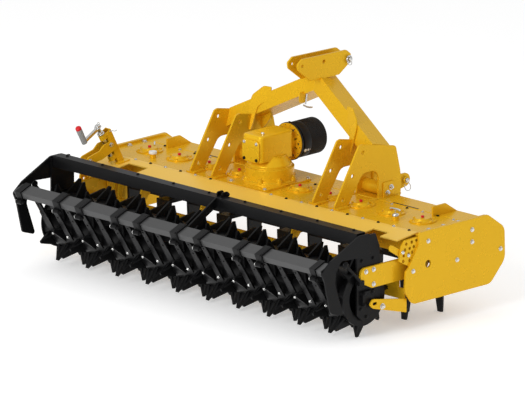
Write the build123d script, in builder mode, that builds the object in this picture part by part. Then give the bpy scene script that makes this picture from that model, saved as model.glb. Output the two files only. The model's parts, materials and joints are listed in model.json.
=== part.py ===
"""A 2.5 m power harrow with ten rotors and a toothed packer roller. Millimetres, +Y is the way it drives."""

from build123d import *

import os
from math import cos, hypot, radians, sin

# Whole machine: the rotors' row sets the width, and stands in front of the part's origin.
rotor_count = 10
rotor_pitch = 250
rotor_line_y = 244
half_width = rotor_count * rotor_pitch / 2
cut_over = 5
running_gap = 0.3

# Trough with the gears, and the deck plate that closes it.
deck_top = 566
deck_plate_thickness = 8
deck_rear = 238
deck_front = 152
trough_wall = 8
trough_wall_rear = 190
trough_floor_rear = 150
trough_floor_front = 105
trough_floor_z = 400
trough_shoulder_z = 450
trough_end_thickness = 10
rotor_boss_radius = 62
rotor_boss_depth = 22

# Side stack from the trough's end outwards: arm, free room, side plate.
arm_gap = 5
arm_thickness = 15
side_room = 41
side_plate_thickness = 12
arm_inner_x = half_width + trough_end_thickness + arm_gap
arm_outer_x = arm_inner_x + arm_thickness
side_inner_x = arm_outer_x + side_room

# Front beam, a folded box along the front of the deck.
beam_front = 330
beam_bottom_z = 440
beam_wall = 8
beam_edge_drop = 13
beam_edge_run = 20
beam_groove = 14

# Rear strip, a yellow tread strip behind the deck.
strip_half_length = 1300
strip_rear = 390
strip_lap = 23
strip_thickness = 8
strip_drop = 16
strip_notch_outer_x = 1000
strip_notch_inner_x = 840
strip_notch_depth = 100
strip_cut_outer_x = 1165
strip_cut_inner_x = 1040
strip_cut_depth = 75

# Bearing caps on the deck over the rotors.
cap_flange_radius = 80
cap_flange_height = 7
cap_hub_radius = 52
cap_hub_top_radius = 44
cap_hub_height = 14

# Side plates that keep the soil in, with rounded corners.
side_plate_rear = 358
side_plate_front = 473
side_plate_bottom_z = 163
side_plate_top_z = 580
side_rail_depth = 10
side_hole_radius = 23
side_plate_shares = [
    (0.144, 1.0, 0.02),
    (0.828, 1.0, 0.07),
    (0.994, 0.765, 0.16),
    (1.0, 0.305, 0.20),
    (0.853, 0.0, 0.16),
    (0.078, 0.0, 0.12),
    (0.0, 0.209, 0.10),
    (0.012, 0.494, 0.02),
    (0.041, 0.535, 0.02),
    (0.136, 0.82, 0.03),
]

# Perforated stop plates for the roller's depth pins.
stop_plate_rear = 393
stop_plate_front = 219
stop_plate_bottom_z = 386
stop_plate_top_z = 556
stop_plate_thickness = 12
stop_hole_radius = 10
stop_pin_radius = 10
stop_pin_back = 335
stop_plate_shares = [
    (0.276, 0.965, 0.10),
    (1.0, 1.0, 0.05),
    (0.529, 0.0, 0.10),
    (0.0, 0.276, 0.10),
    (0.115, 0.782, 0.12),
]
stop_hole_shares = [
    (0.34, 0.84),
    (0.60, 0.86),
    (0.82, 0.88),
    (0.28, 0.64),
    (0.50, 0.66),
    (0.70, 0.68),
    (0.22, 0.45),
    (0.44, 0.47),
    (0.62, 0.50),
    (0.20, 0.26),
    (0.50, 0.24),
]

# Roller arms, hinged on the trough's ends.
pivot_back = 166
pivot_z = 382
pivot_lobe_radius = 55
pivot_pin_radius = 25
pivot_head_radius = 36
pivot_head_thickness = 9
arm_rear = 666
arm_front = 110
arm_bottom_z = 306
arm_top_z = 435
arm_shares = [
    (1.0, 1.0, 0.38),
    (0.0, 1.0, 0.30),
    (0.0, 0.36, 0.22),
    (0.165, 0.0, 0.30),
    (0.75, 0.0, 0.30),
    (1.0, 0.22, 0.36),
]

# Packer roller: drum, end flanges and rings of teeth.
roller_back = 605
roller_z = 250
drum_radius = 160
drum_wall = 8
roller_end_gap = 8
flange_radius = 172
flange_bore_radius = 118
flange_recess = 60
flange_thickness = 8
roller_shaft_radius = 30
tooth_rings_per_rotor = 2
teeth_per_ring = 8
tooth_plate_thickness = 12
tooth_tip_width = 16
tooth_lead = 84
tooth_trail = 26
tooth_root_depth = 14
drum_flat_count = 24
wing_half_width = 32
wing_thickness = 9
wing_tip_short = 12
wing_tip_half_width = 3

# Roller end plates with their bearing blocks.
end_plate_thickness = 12
end_plate_rear = 681
end_plate_front = 496
end_plate_top_z = 620
end_plate_shoulder_z = 540
end_plate_shoulder_front = 530
end_plate_bottom_z = 114
end_plate_corner_run = 48
end_plate_corner_rise = 42
bearing_block_size = 90
bearing_block_depth = 18
bearing_block_round = 14

# Beam over the roller, and the struts that carry the scrapers.
roller_beam_size = 70
roller_beam_wall = 6
roller_beam_back = 637
roller_beam_z = 605
strut_thickness = 12
strut_rear = 980
strut_front = 590
strut_bottom_z = 181
strut_top_z = 632
strut_shares = [
    (1.0, 1.0, 0.02),
    (0.79, 1.0, 0.06),
    (0.19, 0.758, 0.04),
    (0.0, 0.63, 0.04),
    (0.07, 0.50, 0.05),
    (0.19, 0.075, 0.05),
    (0.46, 0.0, 0.03),
    (0.275, 0.445, 0.08),
    (0.30, 0.60, 0.06),
    (0.41, 0.73, 0.06),
    (1.0, 0.70, 0.02),
]
mid_strut_x = 100
mid_strut_foot = 30

# Scraper bar, a flat tube tilted down to the rear, with the scrapers under it.
bar_width = 80
bar_depth = 40
bar_wall = 5
bar_tilt = 22
bar_front_back = 905
bar_front_z = 509
strip_inset = 8
carrier_thickness = 8
scraper_root = 42
scraper_thickness = 10
scraper_width = 44
scraper_gap = 9
scraper_angle = 19
clamp_thickness = 8
clamp_half_width = 22
clamp_leg = 18
clamp_knuckle_radius = 15
clamp_place_shares = [
    -0.978,
    -0.730,
    -0.581,
    -0.344,
    -0.195,
    0.051,
    0.202,
    0.462,
    0.608,
    0.962,
]

# Levelling bar behind the rotors, a folded plate on hangers.
level_rear = 325
level_plate_thickness = 10
level_lip = 35
level_bottom_z = 190
level_top_z = 343
wing_top_z = 255
wing_bottom_z = 120
tab_room = 16
tab_thickness = 10
tab_reach = 293
tab_bottom_z = 114
tab_top_z = 246
tab_slot_radius = 9
tab_shares = [
    (1.0, 0.0, 0.03),
    (1.0, 0.63, 0.02),
    (0.09, 1.0, 0.16),
    (0.0, 0.78, 0.10),
    (0.09, 0.576, 0.16),
]
hanger_place_shares = [-0.70, -0.30, 0.30, 0.70]
hanger_thickness = 10
hanger_gap = 0.5
hanger_front = 215
hanger_top_z = 510
hanger_foot = 28
guide_rear = 285
guide_top_z = 540
guide_bottom_z = 430

# Headstock, two pairs of plates on the deck and front beam.
headstock_inner_x = 416.5
headstock_outer_x = 593.5
headstock_thickness = 12
headstock_rear = 189
headstock_front = 359
headstock_top_z = 917
headstock_shares = [
    (0.0, 0.0, 0.01),
    (0.0, 0.066, 0.03),
    (0.361, 0.98, 0.06),
    (0.409, 1.0, 0.08),
    (0.918, 0.84, 0.08),
    (0.985, 0.413, 0.02),
    (1.0, 0.222, 0.04),
    (0.987, -0.074, 0.02),
    (0.9471, -0.074, 0.0),
    (0.9471, 0.0, 0.0),
    (0.659, 0.0, 0.01),
    (0.659, 0.51, 0.17),
    (0.418, 0.51, 0.17),
    (0.188, 0.0, 0.01),
]
headstock_hole_radius = 12.5
headstock_hole_shares = [(0.418, 0.86), (0.266, 0.50), (0.12, 0.14)]
foot_half_width = 34
foot_thickness = 10
foot_length = 96

# Lower hitch: cross boss, forward lugs and their pins.
boss_ahead = 251
boss_z = 606
boss_radius = 39
lug_thickness = 12
lug_root = 298
lug_pin_ahead = 404
lug_pin_z = 635
lug_round = 40
lug_bottom_z = 575
lug_top_z = 675
hitch_pin_radius = 14
hitch_pin_overhang = 18
hitch_pin_head_radius = 21
hitch_pin_head_thickness = 8

# Mast: two square tubes that meet under a clevis head.
mast_tube_width = 150
mast_tube_depth = 110
mast_tube_wall = 8
mast_tube_tilt = 14
mast_top_ahead = 322
mast_top_drop = 38
mast_foot_ahead = 190
mast_foot_drop = 85
mast_foot_z = headstock_top_z - mast_foot_drop
head_gap_half = 34
head_plate_thickness = 12
head_rear = 60
head_front = 502
head_top_z = 1316
head_height = 146
head_bottom_z = head_top_z - head_height
mast_top_z = head_bottom_z - mast_top_drop
head_shares = [
    (0.0, 0.808, 0.10),
    (0.086, 1.0, 0.14),
    (0.914, 0.94, 0.14),
    (0.995, 0.753, 0.12),
    (1.0, 0.43, 0.12),
    (0.778, 0.0, 0.10),
    (0.258, 0.0, 0.10),
    (0.014, 0.56, 0.12),
]
link_hole_radius = 12.9
link_hole_ahead = 278
link_hole_drop = 46
link_hole_z = head_top_z - link_hole_drop
spare_hole_radius = 10
spare_hole_ahead = 99.5
spare_hole_drop = 42
spare_hole_z = head_top_z - spare_hole_drop
top_pin_radius = 12.7
top_pin_ahead = 477
top_pin_drop = 65
top_pin_z = head_top_z - top_pin_drop
top_pin_overhang = 22
top_pin_head_radius = 19
top_pin_head_thickness = 8

# Gusset plates between the mast tubes and the inner headstock plates.
mast_gusset_reach = 68
mast_gusset_drop = 58
mast_gusset_foot = 130
mast_gusset_thickness = 12

# Gearbox, half a pitch to the left, over the fifth rotor.
gearbox_x = -rotor_pitch / 2
gear_base_half_x = 160
gear_base_half_y = 200
gear_base_thickness = 12
gear_base_round = 30
gear_foot_radius = 158
gear_foot_height = 14
gear_foot_boss_radius = 17
gear_foot_boss_height = 34
gear_foot_boss_count = 8
gear_step_radius = 132
gear_step_height = 16
gear_rib_thickness = 12
gear_rib_reach = 40
gear_drum_radius = 145
gear_drum_top_z = 668
gear_neck_radius = 100
gear_neck_z = 730
gear_box_half_x = 80
gear_box_rear = 150
gear_box_front = 120
gear_box_bottom_z = 715
gear_box_top_z = 875
gear_box_round = 26
gear_cover_half_width = 68
gear_cover_half_height = 62
gear_cover_thickness = 10
gear_cover_round = 18
gear_cover_dish_radius = 46
gear_cover_dish = 8
pto_z = 780
pto_neck_radius = 62
pto_flange_y = 150
pto_flange_radius = 110
pto_flange_thickness = 9
pto_flange_hole_radius = 8
pto_flange_hole_circle = 86
pto_flange_hole_count = 6
pto_guard_root_radius = 96
pto_guard_mouth_radius = 108
pto_guard_root_length = 26
pto_guard_wall = 5
pto_guard_mouth_y = 369
pto_shaft_radius = 17.45
pto_collar_radius = 26
pto_collar_length = 60
pto_stub_length = 95

# Front gusset plates between the front beam and the deck.
gusset_x = 1094
gusset_thickness = 12
gusset_rear = 113
gusset_height = 59
gusset_top_front = 220

# Crank that sets the levelling bar, on the left of the rear strip.
crank_inset = 225
crank_x = crank_inset - strip_half_length
crank_tube_size = 44
crank_tube_wall = 4
crank_foot_back = 300
crank_top_back = 411
crank_top_z = 775
crank_base_length = 90
crank_base_half_width = 45
crank_base_thickness = 8
spindle_radius = 12
spindle_set_back = 42
collar_height = 30
collar_round = 20
collar_low_share = 0.2
collar_high_share = 0.86
yoke_thickness = 8
yoke_rear = 590
yoke_front = 345
yoke_bottom_z = 600
yoke_top_z = 715
yoke_pin_radius = 9
yoke_shares = [
    (1.0, 0.52, 0.1),
    (0.86, 1.0, 0.2),
    (0.56, 0.86, 0.16),
    (0.42, 0.60, 0.1),
    (0.0, 0.38, 0.17),
    (0.0, 0.0, 0.17),
    (0.5, 0.12, 0.2),
]
spindle_top_length = 60
spindle_lower_length = 90
spindle_eye_radius = 20
crank_throw = 130
crank_rod_radius = 9
crank_grip_radius = 17
crank_grip_length = 115
ear_gap = 0.7
ear_thickness = 8

# Rotors: hub and two knife tines each, the tines of neighbours a quarter turn apart.
rotor_hub_radius = 58
rotor_hub_height = 34
rotor_arm_half_width = 36
rotor_arm_height = 26
tine_radius = 135
tine_thickness = 16
tine_root_half_width = 48
tine_tip_half_width = 17
tine_sweep = 14
tine_waist_z = 190
tine_waist_half_width = 40

# Views: side view (ahead of the rotor line, height), plan (across, ahead), rear view (across, height).
side_view = Plane(origin=(0, rotor_line_y, 0), x_dir=(0, 1, 0), z_dir=(1, 0, 0))
plan_view = Plane(origin=(0, rotor_line_y, 0), x_dir=(1, 0, 0), z_dir=(0, 0, 1))
rear_view = Plane(origin=(0, rotor_line_y, 0), x_dir=(1, 0, 0), z_dir=(0, -1, 0))
middle = Plane.YZ

pieces = {}


def shared_points(rows, rear, front, bottom, top):
    """Corner points from their shares of the box between rear and front, bottom and top."""
    return [(rear + (front - rear) * row[0], bottom + (top - bottom) * row[1]) for row in rows]


def round_face(plane, rows, rear, front, bottom, top):
    """Face with rounded corners, each round a share of the box's height."""
    with BuildSketch(plane) as face:
        with BuildLine():
            rounds = [(top - bottom) * row[2] for row in rows]
            FilletPolyline(*shared_points(rows, rear, front, bottom, top), radius=rounds, close=True)
        make_face()
    return face.sketch


def sharp_face(plane, points):
    """Face with straight edges between the given points."""
    with BuildSketch(plane) as face:
        with BuildLine():
            Polyline(*points, close=True)
        make_face()
    return face.sketch


def tube_face(plane, outer, inner):
    """Face of a hollow section: the outer outline less the inner one."""
    with BuildSketch(plane) as face:
        with BuildLine():
            Polyline(*outer, close=True)
        make_face()
        with BuildLine():
            Polyline(*inner, close=True)
        make_face(mode=Mode.SUBTRACT)
    return face.sketch


def disc_face(plane, centre, radius, bore=0):
    """Round face about a centre, with a bore where one is given."""
    with BuildSketch(plane) as face:
        with Locations(centre):
            Circle(radius)
            if bore:
                Circle(bore, mode=Mode.SUBTRACT)
    return face.sketch


def mirrored(source):
    """The same piece on the left side of the machine."""
    with BuildPart() as copy:
        add(source.part.mirror(middle))
    return copy


# The trough is a folded section with a plate at each end, and a boss under its floor for each rotor.
rim_z = deck_top - deck_plate_thickness
rotor_places = [(index + 0.5) * rotor_pitch - half_width for index in range(rotor_count)]
trough_outer = [
    (-deck_rear, rim_z),
    (-deck_rear, rim_z - trough_wall),
    (-trough_wall_rear, rim_z - trough_wall),
    (-trough_floor_rear, trough_floor_z),
    (trough_floor_front, trough_floor_z),
    (deck_front, trough_shoulder_z),
    (deck_front, rim_z),
]
trough_inner = [
    (-trough_wall_rear + trough_wall, rim_z + cut_over),
    (-trough_floor_rear + trough_wall, trough_floor_z + trough_wall),
    (trough_floor_front - trough_wall, trough_floor_z + trough_wall),
    (deck_front - trough_wall, trough_shoulder_z + trough_wall),
    (deck_front - trough_wall, rim_z + cut_over),
]
pivot_point = (-pivot_back, pivot_z)

with BuildPart() as trough:
    extrude(tube_face(side_view.offset(-half_width), trough_outer, trough_inner), amount=2 * half_width)
    for end_x in (-half_width - trough_end_thickness, half_width):
        with BuildSketch(side_view.offset(end_x)) as end_sheet:
            with BuildLine():
                Polyline(*trough_outer, close=True)
            make_face()
            with Locations((-pivot_back, (pivot_z + rim_z) / 2)):
                Rectangle(2 * pivot_lobe_radius, rim_z - pivot_z)
            with Locations(pivot_point):
                Circle(pivot_lobe_radius)
        extrude(amount=trough_end_thickness)
    with BuildSketch(plan_view.offset(trough_floor_z - rotor_boss_depth)):
        with Locations(*[(place, 0) for place in rotor_places]):
            Circle(rotor_boss_radius)
    extrude(amount=rotor_boss_depth)
pieces["trough"] = trough

with BuildPart() as deck_plate:
    with BuildSketch(plan_view.offset(rim_z)):
        with Locations((0, (deck_front - deck_rear) / 2)):
            Rectangle(2 * side_inner_x, deck_front + deck_rear)
    extrude(amount=deck_plate_thickness)
pieces["deck_plate"] = deck_plate

# The front beam has a groove along the deck plate and a bent front edge.
beam_outer = [
    (deck_front, beam_bottom_z),
    (beam_front, beam_bottom_z),
    (beam_front, deck_top - beam_edge_drop),
    (beam_front - beam_edge_run, deck_top),
    (deck_front + beam_groove, deck_top),
    (deck_front, deck_top - beam_groove),
]
beam_inner = [
    (deck_front + beam_wall, beam_bottom_z + beam_wall),
    (beam_front - beam_wall, beam_bottom_z + beam_wall),
    (beam_front - beam_wall, deck_top - beam_edge_drop - beam_wall),
    (beam_front - beam_edge_run - beam_wall, deck_top - beam_wall),
    (deck_front + beam_groove + beam_wall, deck_top - beam_wall),
    (deck_front + beam_wall, deck_top - beam_groove - beam_wall),
]
with BuildPart() as front_beam:
    extrude(tube_face(side_view.offset(-side_inner_x), beam_outer, beam_inner), amount=2 * side_inner_x)
pieces["front_beam"] = front_beam

with BuildPart() as front_gussets:
    gusset_points = [
        (gusset_rear, deck_top),
        (gusset_rear, deck_top + gusset_height),
        (gusset_top_front, deck_top + gusset_height),
        (beam_front - beam_edge_run, deck_top),
    ]
    for centre_x in (-gusset_x, gusset_x):
        gusset_plane = side_view.offset(centre_x - gusset_thickness / 2)
        extrude(sharp_face(gusset_plane, gusset_points), amount=gusset_thickness)
pieces["front_gussets"] = front_gussets

# The rear strip laps over the deck and falls a little to the rear; the crank's spindle passes through it.
strip_fold = deck_rear + strip_thickness / 4
strip_outline = [
    (-deck_rear + strip_lap, deck_top),
    (-deck_rear + strip_lap, deck_top + strip_thickness),
    (-strip_fold, deck_top + strip_thickness),
    (-strip_rear, deck_top + strip_thickness - strip_drop),
    (-strip_rear, deck_top - strip_drop),
    (-strip_fold, deck_top),
]


def strip_top(back):
    """Height of the rear strip's upper side, this far behind the rotor line."""
    fall = strip_drop * (back - strip_fold) / (strip_rear - strip_fold)
    return deck_top + strip_thickness - fall


crank_foot_z = strip_top(crank_foot_back)
crank_length = hypot(crank_top_back - crank_foot_back, crank_top_z - crank_foot_z)
crank_lean_y = -(crank_top_back - crank_foot_back) / crank_length
crank_lean_z = (crank_top_z - crank_foot_z) / crank_length
crank_axis = (0, crank_lean_y, crank_lean_z)


def crank_point(distance):
    """Point on the crank's axis, this far up from the strip, in the side view."""
    return (-crank_foot_back + crank_lean_y * distance, crank_foot_z + crank_lean_z * distance)


def spindle_point(distance):
    """Point on the spindle's axis, set back from the post, this far up, in the side view."""
    ahead, height = crank_point(distance)
    return (ahead - crank_lean_z * spindle_set_back, height + crank_lean_y * spindle_set_back)


def crank_plane(distance, point=crank_point):
    """Plane square to the crank's axis, this far up from the strip, on the post's or the spindle's axis."""
    ahead, height = point(distance)
    return Plane(origin=(crank_x, rotor_line_y + ahead, height), x_dir=(1, 0, 0), z_dir=crank_axis)


with BuildPart() as rear_strip:
    extrude(sharp_face(side_view.offset(-strip_half_length), strip_outline), amount=2 * strip_half_length)
    notch_centre = -(strip_notch_outer_x + strip_notch_inner_x) / 2
    cut_centre = (strip_cut_outer_x + strip_cut_inner_x) / 2
    with BuildSketch(plan_view.offset(deck_top - strip_drop - cut_over)):
        with Locations((notch_centre, -strip_rear + strip_notch_depth / 2 - cut_over / 2)):
            Rectangle(strip_notch_outer_x - strip_notch_inner_x, strip_notch_depth + cut_over)
        with Locations((cut_centre, -strip_rear + strip_cut_depth / 2 - cut_over / 2)):
            Rectangle(strip_cut_outer_x - strip_cut_inner_x, strip_cut_depth + cut_over)
    extrude(amount=strip_drop + strip_thickness + 2 * cut_over, mode=Mode.SUBTRACT)
    spindle_way = disc_face(crank_plane(-2 * crank_tube_size, spindle_point), (0, 0), spindle_radius + cut_over)
    extrude(spindle_way, amount=4 * crank_tube_size, mode=Mode.SUBTRACT)
pieces["rear_strip"] = rear_strip

with BuildPart() as bearing_caps:
    cap_places = [(place, 0) for place in rotor_places if abs(place - gearbox_x) > rotor_pitch / 2]
    with BuildSketch(plan_view.offset(deck_top)):
        with Locations(*cap_places):
            Circle(cap_flange_radius)
    extrude(amount=cap_flange_height)
    cap_hub_z = deck_top + cap_flange_height
    for place, ahead in cap_places:
        with Locations((place, rotor_line_y + ahead, cap_hub_z)):
            hub_align = (Align.CENTER, Align.CENTER, Align.MIN)
            Cone(cap_hub_radius, cap_hub_top_radius, cap_hub_height, align=hub_align)
pieces["bearing_caps"] = bearing_caps

# Side plates with a rail along the top edge that rests on the deck, and the hole over the arm's pivot.
with BuildPart() as side_plate_right:
    plate_box = (-side_plate_rear, side_plate_front, side_plate_bottom_z, side_plate_top_z)
    extrude(round_face(side_view.offset(side_inner_x), side_plate_shares, *plate_box), amount=side_plate_thickness)
    pivot_view = disc_face(side_view.offset(side_inner_x - cut_over), pivot_point, side_hole_radius)
    extrude(pivot_view, amount=side_plate_thickness + 2 * cut_over, mode=Mode.SUBTRACT)
    rail_rear, rail_front = [
        point[0] for point in shared_points(side_plate_shares, *plate_box)[:2]
    ]
    rail_points = [
        (rail_rear + strip_lap + cut_over, deck_top),
        (rail_front - side_plate_thickness, deck_top),
        (rail_front - side_plate_thickness, side_plate_top_z),
        (rail_rear + strip_lap + cut_over, side_plate_top_z),
    ]
    extrude(sharp_face(side_view.offset(side_inner_x - side_rail_depth), rail_points), amount=side_rail_depth)
pieces["side_plate_right"] = side_plate_right
pieces["side_plate_left"] = mirrored(side_plate_right)

# Stop plates lie against the side plates; the depth pin in each rests on the arm.
with BuildPart() as stop_plates:
    stop_box = (-stop_plate_rear, -stop_plate_front, stop_plate_bottom_z, stop_plate_top_z)
    stop_plane = side_view.offset(side_inner_x - stop_plate_thickness)
    extrude(round_face(stop_plane, stop_plate_shares, *stop_box), amount=stop_plate_thickness)
    with BuildSketch(stop_plane.offset(-cut_over)):
        with Locations(*shared_points(stop_hole_shares, *stop_box)):
            Circle(stop_hole_radius)
    extrude(amount=stop_plate_thickness + 2 * cut_over, mode=Mode.SUBTRACT)
    pin_point = (-stop_pin_back, arm_top_z + stop_pin_radius + running_gap)
    pin_length = side_inner_x - arm_inner_x
    extrude(disc_face(side_view.offset(arm_inner_x), pin_point, stop_pin_radius), amount=pin_length)
    mirror(about=middle)
pieces["stop_plates"] = stop_plates

# Headstock: each side has an inner and an outer plate with a foot on the deck.
headstock_box = (-headstock_rear, headstock_front, deck_top, headstock_top_z)
mast_reach = headstock_outer_x - headstock_thickness / 2


def mast_direction():
    """Way of the right mast tube from under the head down to the outer headstock plate."""
    return Vector(mast_reach, mast_foot_ahead - mast_top_ahead, mast_foot_z - mast_top_z)


def mast_solid(wall):
    """Right mast tube as an oblique bar, drawn in by a wall on each side."""
    with BuildPart() as bar:
        with BuildSketch(side_view):
            with Locations(Location((mast_top_ahead, mast_top_z), -mast_tube_tilt)):
                Rectangle(mast_tube_width - 2 * wall, mast_tube_depth - 2 * wall)
        extrude(amount=mast_direction().length, dir=mast_direction().normalized())
    return bar.part


def headstock_side(sign):
    """Both plates of one side, the inner one let in round the mast tube."""
    with BuildPart() as plates:
        for centre_x in (headstock_inner_x, headstock_outer_x):
            plate_plane = side_view.offset(centre_x - headstock_thickness / 2)
            extrude(round_face(plate_plane, headstock_shares, *headstock_box), amount=headstock_thickness)
            with BuildSketch(plate_plane.offset(-cut_over)):
                with Locations(*shared_points(headstock_hole_shares, *headstock_box)):
                    Circle(headstock_hole_radius)
            extrude(amount=headstock_thickness + 2 * cut_over, mode=Mode.SUBTRACT)
            with BuildSketch(plan_view.offset(deck_top)):
                with Locations((centre_x, foot_length / 2 - headstock_rear)):
                    Rectangle(2 * foot_half_width, foot_length)
            extrude(amount=foot_thickness)
        add(mast_solid(0), mode=Mode.SUBTRACT)
        if sign < 0:
            mirror(about=middle, mode=Mode.REPLACE)
    return plates


pieces["headstock_right"] = headstock_side(1)
pieces["headstock_left"] = headstock_side(-1)

# Hitch bosses and lugs stand between the plates of each side.
hitch_inner_x = headstock_inner_x + headstock_thickness / 2
hitch_outer_x = headstock_outer_x - headstock_thickness / 2
with BuildPart() as hitch_bosses:
    boss_face = disc_face(side_view.offset(hitch_inner_x), (boss_ahead, boss_z), boss_radius)
    extrude(boss_face, amount=hitch_outer_x - hitch_inner_x)
    mirror(about=middle)
pieces["hitch_bosses"] = hitch_bosses

with BuildPart() as hitch_lugs:
    for lug_x in (hitch_inner_x, hitch_outer_x - lug_thickness):
        with BuildSketch(side_view.offset(lug_x)):
            with BuildLine():
                Polyline(
                    (lug_root, lug_bottom_z),
                    (lug_pin_ahead, lug_pin_z - lug_round),
                    (lug_pin_ahead, lug_pin_z + lug_round),
                    (lug_root, lug_top_z),
                    close=True,
                )
            make_face()
            with Locations((lug_pin_ahead, lug_pin_z)):
                Circle(lug_round)
                Circle(hitch_pin_radius + running_gap, mode=Mode.SUBTRACT)
        extrude(amount=lug_thickness)
    mirror(about=middle)
pieces["hitch_lugs"] = hitch_lugs

with BuildPart() as hitch_pins:
    pin_plane = side_view.offset(hitch_inner_x - hitch_pin_overhang)
    pin_length = hitch_outer_x - hitch_inner_x + 2 * hitch_pin_overhang
    extrude(disc_face(pin_plane, (lug_pin_ahead, lug_pin_z), hitch_pin_radius), amount=pin_length)
    head_plane = side_view.offset(hitch_outer_x + running_gap)
    head_face = disc_face(head_plane, (lug_pin_ahead, lug_pin_z), hitch_pin_head_radius)
    extrude(head_face, amount=hitch_pin_head_thickness)
    mirror(about=middle)
pieces["hitch_pins"] = hitch_pins

# Mast tubes meet on the middle plane, cut flat under the head's two plates.
head_outer_x = head_gap_half + head_plate_thickness
with BuildPart() as mast_tube_right:
    add(mast_solid(0))
    add(mast_solid(mast_tube_wall), mode=Mode.SUBTRACT)
    with BuildSketch(plan_view.offset(head_bottom_z)):
        with Locations((0, mast_top_ahead)):
            Rectangle(2 * head_outer_x, 2 * (head_front - head_rear))
    extrude(amount=head_top_z - head_bottom_z, mode=Mode.SUBTRACT)
pieces["mast_tube_right"] = mast_tube_right
pieces["mast_tube_left"] = mirrored(mast_tube_right)

with BuildPart() as mast_head:
    head_box = (head_rear, head_front, head_bottom_z, head_top_z)
    head_plane = side_view.offset(head_gap_half)
    extrude(round_face(head_plane, head_shares, *head_box), amount=head_plate_thickness)
    with BuildSketch(head_plane.offset(-cut_over)):
        with Locations((link_hole_ahead, link_hole_z)):
            Circle(link_hole_radius)
        with Locations((spare_hole_ahead, spare_hole_z)):
            Circle(spare_hole_radius)
        with Locations((top_pin_ahead, top_pin_z)):
            Circle(top_pin_radius + running_gap)
    extrude(amount=head_plate_thickness + 2 * cut_over, mode=Mode.SUBTRACT)
    mirror(about=middle)
pieces["mast_head"] = mast_head

with BuildPart() as top_link_pin:
    top_pin_half = head_outer_x + top_pin_overhang
    top_pin_point = (top_pin_ahead, top_pin_z)
    extrude(disc_face(side_view.offset(-top_pin_half), top_pin_point, top_pin_radius), amount=2 * top_pin_half)
    head_side = side_view.offset(head_outer_x + running_gap)
    extrude(disc_face(head_side, top_pin_point, top_pin_head_radius), amount=top_pin_head_thickness)
pieces["top_link_pin"] = top_link_pin

with BuildPart() as mast_gussets:
    gusset_outer_x = headstock_inner_x - headstock_thickness / 2
    gusset_ahead = mast_top_ahead + (mast_foot_ahead - mast_top_ahead) * gusset_outer_x / mast_reach
    tube_drop = (mast_top_z - mast_foot_z) / mast_reach
    middle_z = mast_top_z - tube_drop * gusset_outer_x
    gusset_points = [
        (gusset_outer_x, middle_z),
        (gusset_outer_x - mast_gusset_reach, middle_z + tube_drop * mast_gusset_reach),
        (gusset_outer_x - mast_gusset_reach, middle_z - mast_gusset_drop),
        (gusset_outer_x, middle_z - mast_gusset_foot),
    ]
    gusset_plane = rear_view.offset(-gusset_ahead - mast_gusset_thickness / 2)
    extrude(sharp_face(gusset_plane, gusset_points), amount=mast_gusset_thickness)
    add(mast_solid(0), mode=Mode.SUBTRACT)
    mirror(about=middle)
pieces["mast_gussets"] = mast_gussets

# Gearbox: base plate, turned lower housing with a cone to its neck, and the squared upper box.
gear_base_top = deck_top + gear_base_thickness
gear_origin = (gearbox_x, rotor_line_y)
with BuildPart() as gearbox_base:
    with BuildSketch(plan_view.offset(deck_top)):
        with Locations((gearbox_x, 0)):
            RectangleRounded(2 * gear_base_half_x, 2 * gear_base_half_y, gear_base_round)
    extrude(amount=gear_base_thickness)
pieces["gearbox_base"] = gearbox_base

with BuildPart() as gearbox_body:
    with BuildSketch(Plane.XZ.offset(-rotor_line_y)):
        with BuildLine():
            Polyline(
                (gearbox_x, gear_base_top),
                (gearbox_x + gear_foot_radius, gear_base_top),
                (gearbox_x + gear_foot_radius, gear_base_top + gear_foot_height),
                (gearbox_x + gear_drum_radius, gear_base_top + gear_foot_height),
                (gearbox_x + gear_drum_radius, gear_drum_top_z),
                (gearbox_x + gear_step_radius, gear_drum_top_z),
                (gearbox_x + gear_step_radius, gear_drum_top_z + gear_step_height),
                (gearbox_x + gear_neck_radius, gear_neck_z),
                (gearbox_x + gear_neck_radius, gear_neck_z + trough_wall),
                (gearbox_x, gear_neck_z + trough_wall),
                close=True,
            )
        make_face()
    revolve(axis=Axis((*gear_origin, 0), (0, 0, 1)))
    with BuildSketch(plan_view.offset(gear_base_top)):
        with Locations((gearbox_x, 0)):
            boss_turn = 180 / gear_foot_boss_count
            with PolarLocations(gear_drum_radius, gear_foot_boss_count, start_angle=boss_turn):
                Circle(gear_foot_boss_radius)
    extrude(amount=gear_foot_boss_height)
    with BuildSketch(plan_view.offset(gear_box_bottom_z)):
        with Locations((gearbox_x, (gear_box_front - gear_box_rear) / 2)):
            RectangleRounded(2 * gear_box_half_x, gear_box_front + gear_box_rear, gear_box_round)
    extrude(amount=gear_box_top_z - gear_box_bottom_z)
    fillet(edges().group_by(Axis.Z)[-1], radius=gear_box_round / 2)
    neck_length = pto_flange_y - gear_box_front + gear_box_round
    neck_plane = rear_view.offset(-pto_flange_y)
    extrude(disc_face(neck_plane, (gearbox_x, pto_z), pto_neck_radius), amount=neck_length)
    rib_points = [
        (gear_box_front, gear_box_top_z - gear_box_round),
        (pto_flange_y, pto_z + pto_neck_radius + gear_rib_reach / 4),
        (pto_flange_y, pto_z - pto_neck_radius - gear_rib_reach),
        (gear_neck_radius, gear_drum_top_z + gear_step_height),
        (0, gear_drum_top_z + gear_step_height),
        (0, gear_box_top_z - gear_box_round),
    ]
    for rib_shift in (-pto_neck_radius / 2, pto_neck_radius / 2):
        rib_plane = side_view.offset(gearbox_x + rib_shift - gear_rib_thickness / 2)
        extrude(sharp_face(rib_plane, rib_points), amount=gear_rib_thickness)
pieces["gearbox_body"] = gearbox_body

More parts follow.
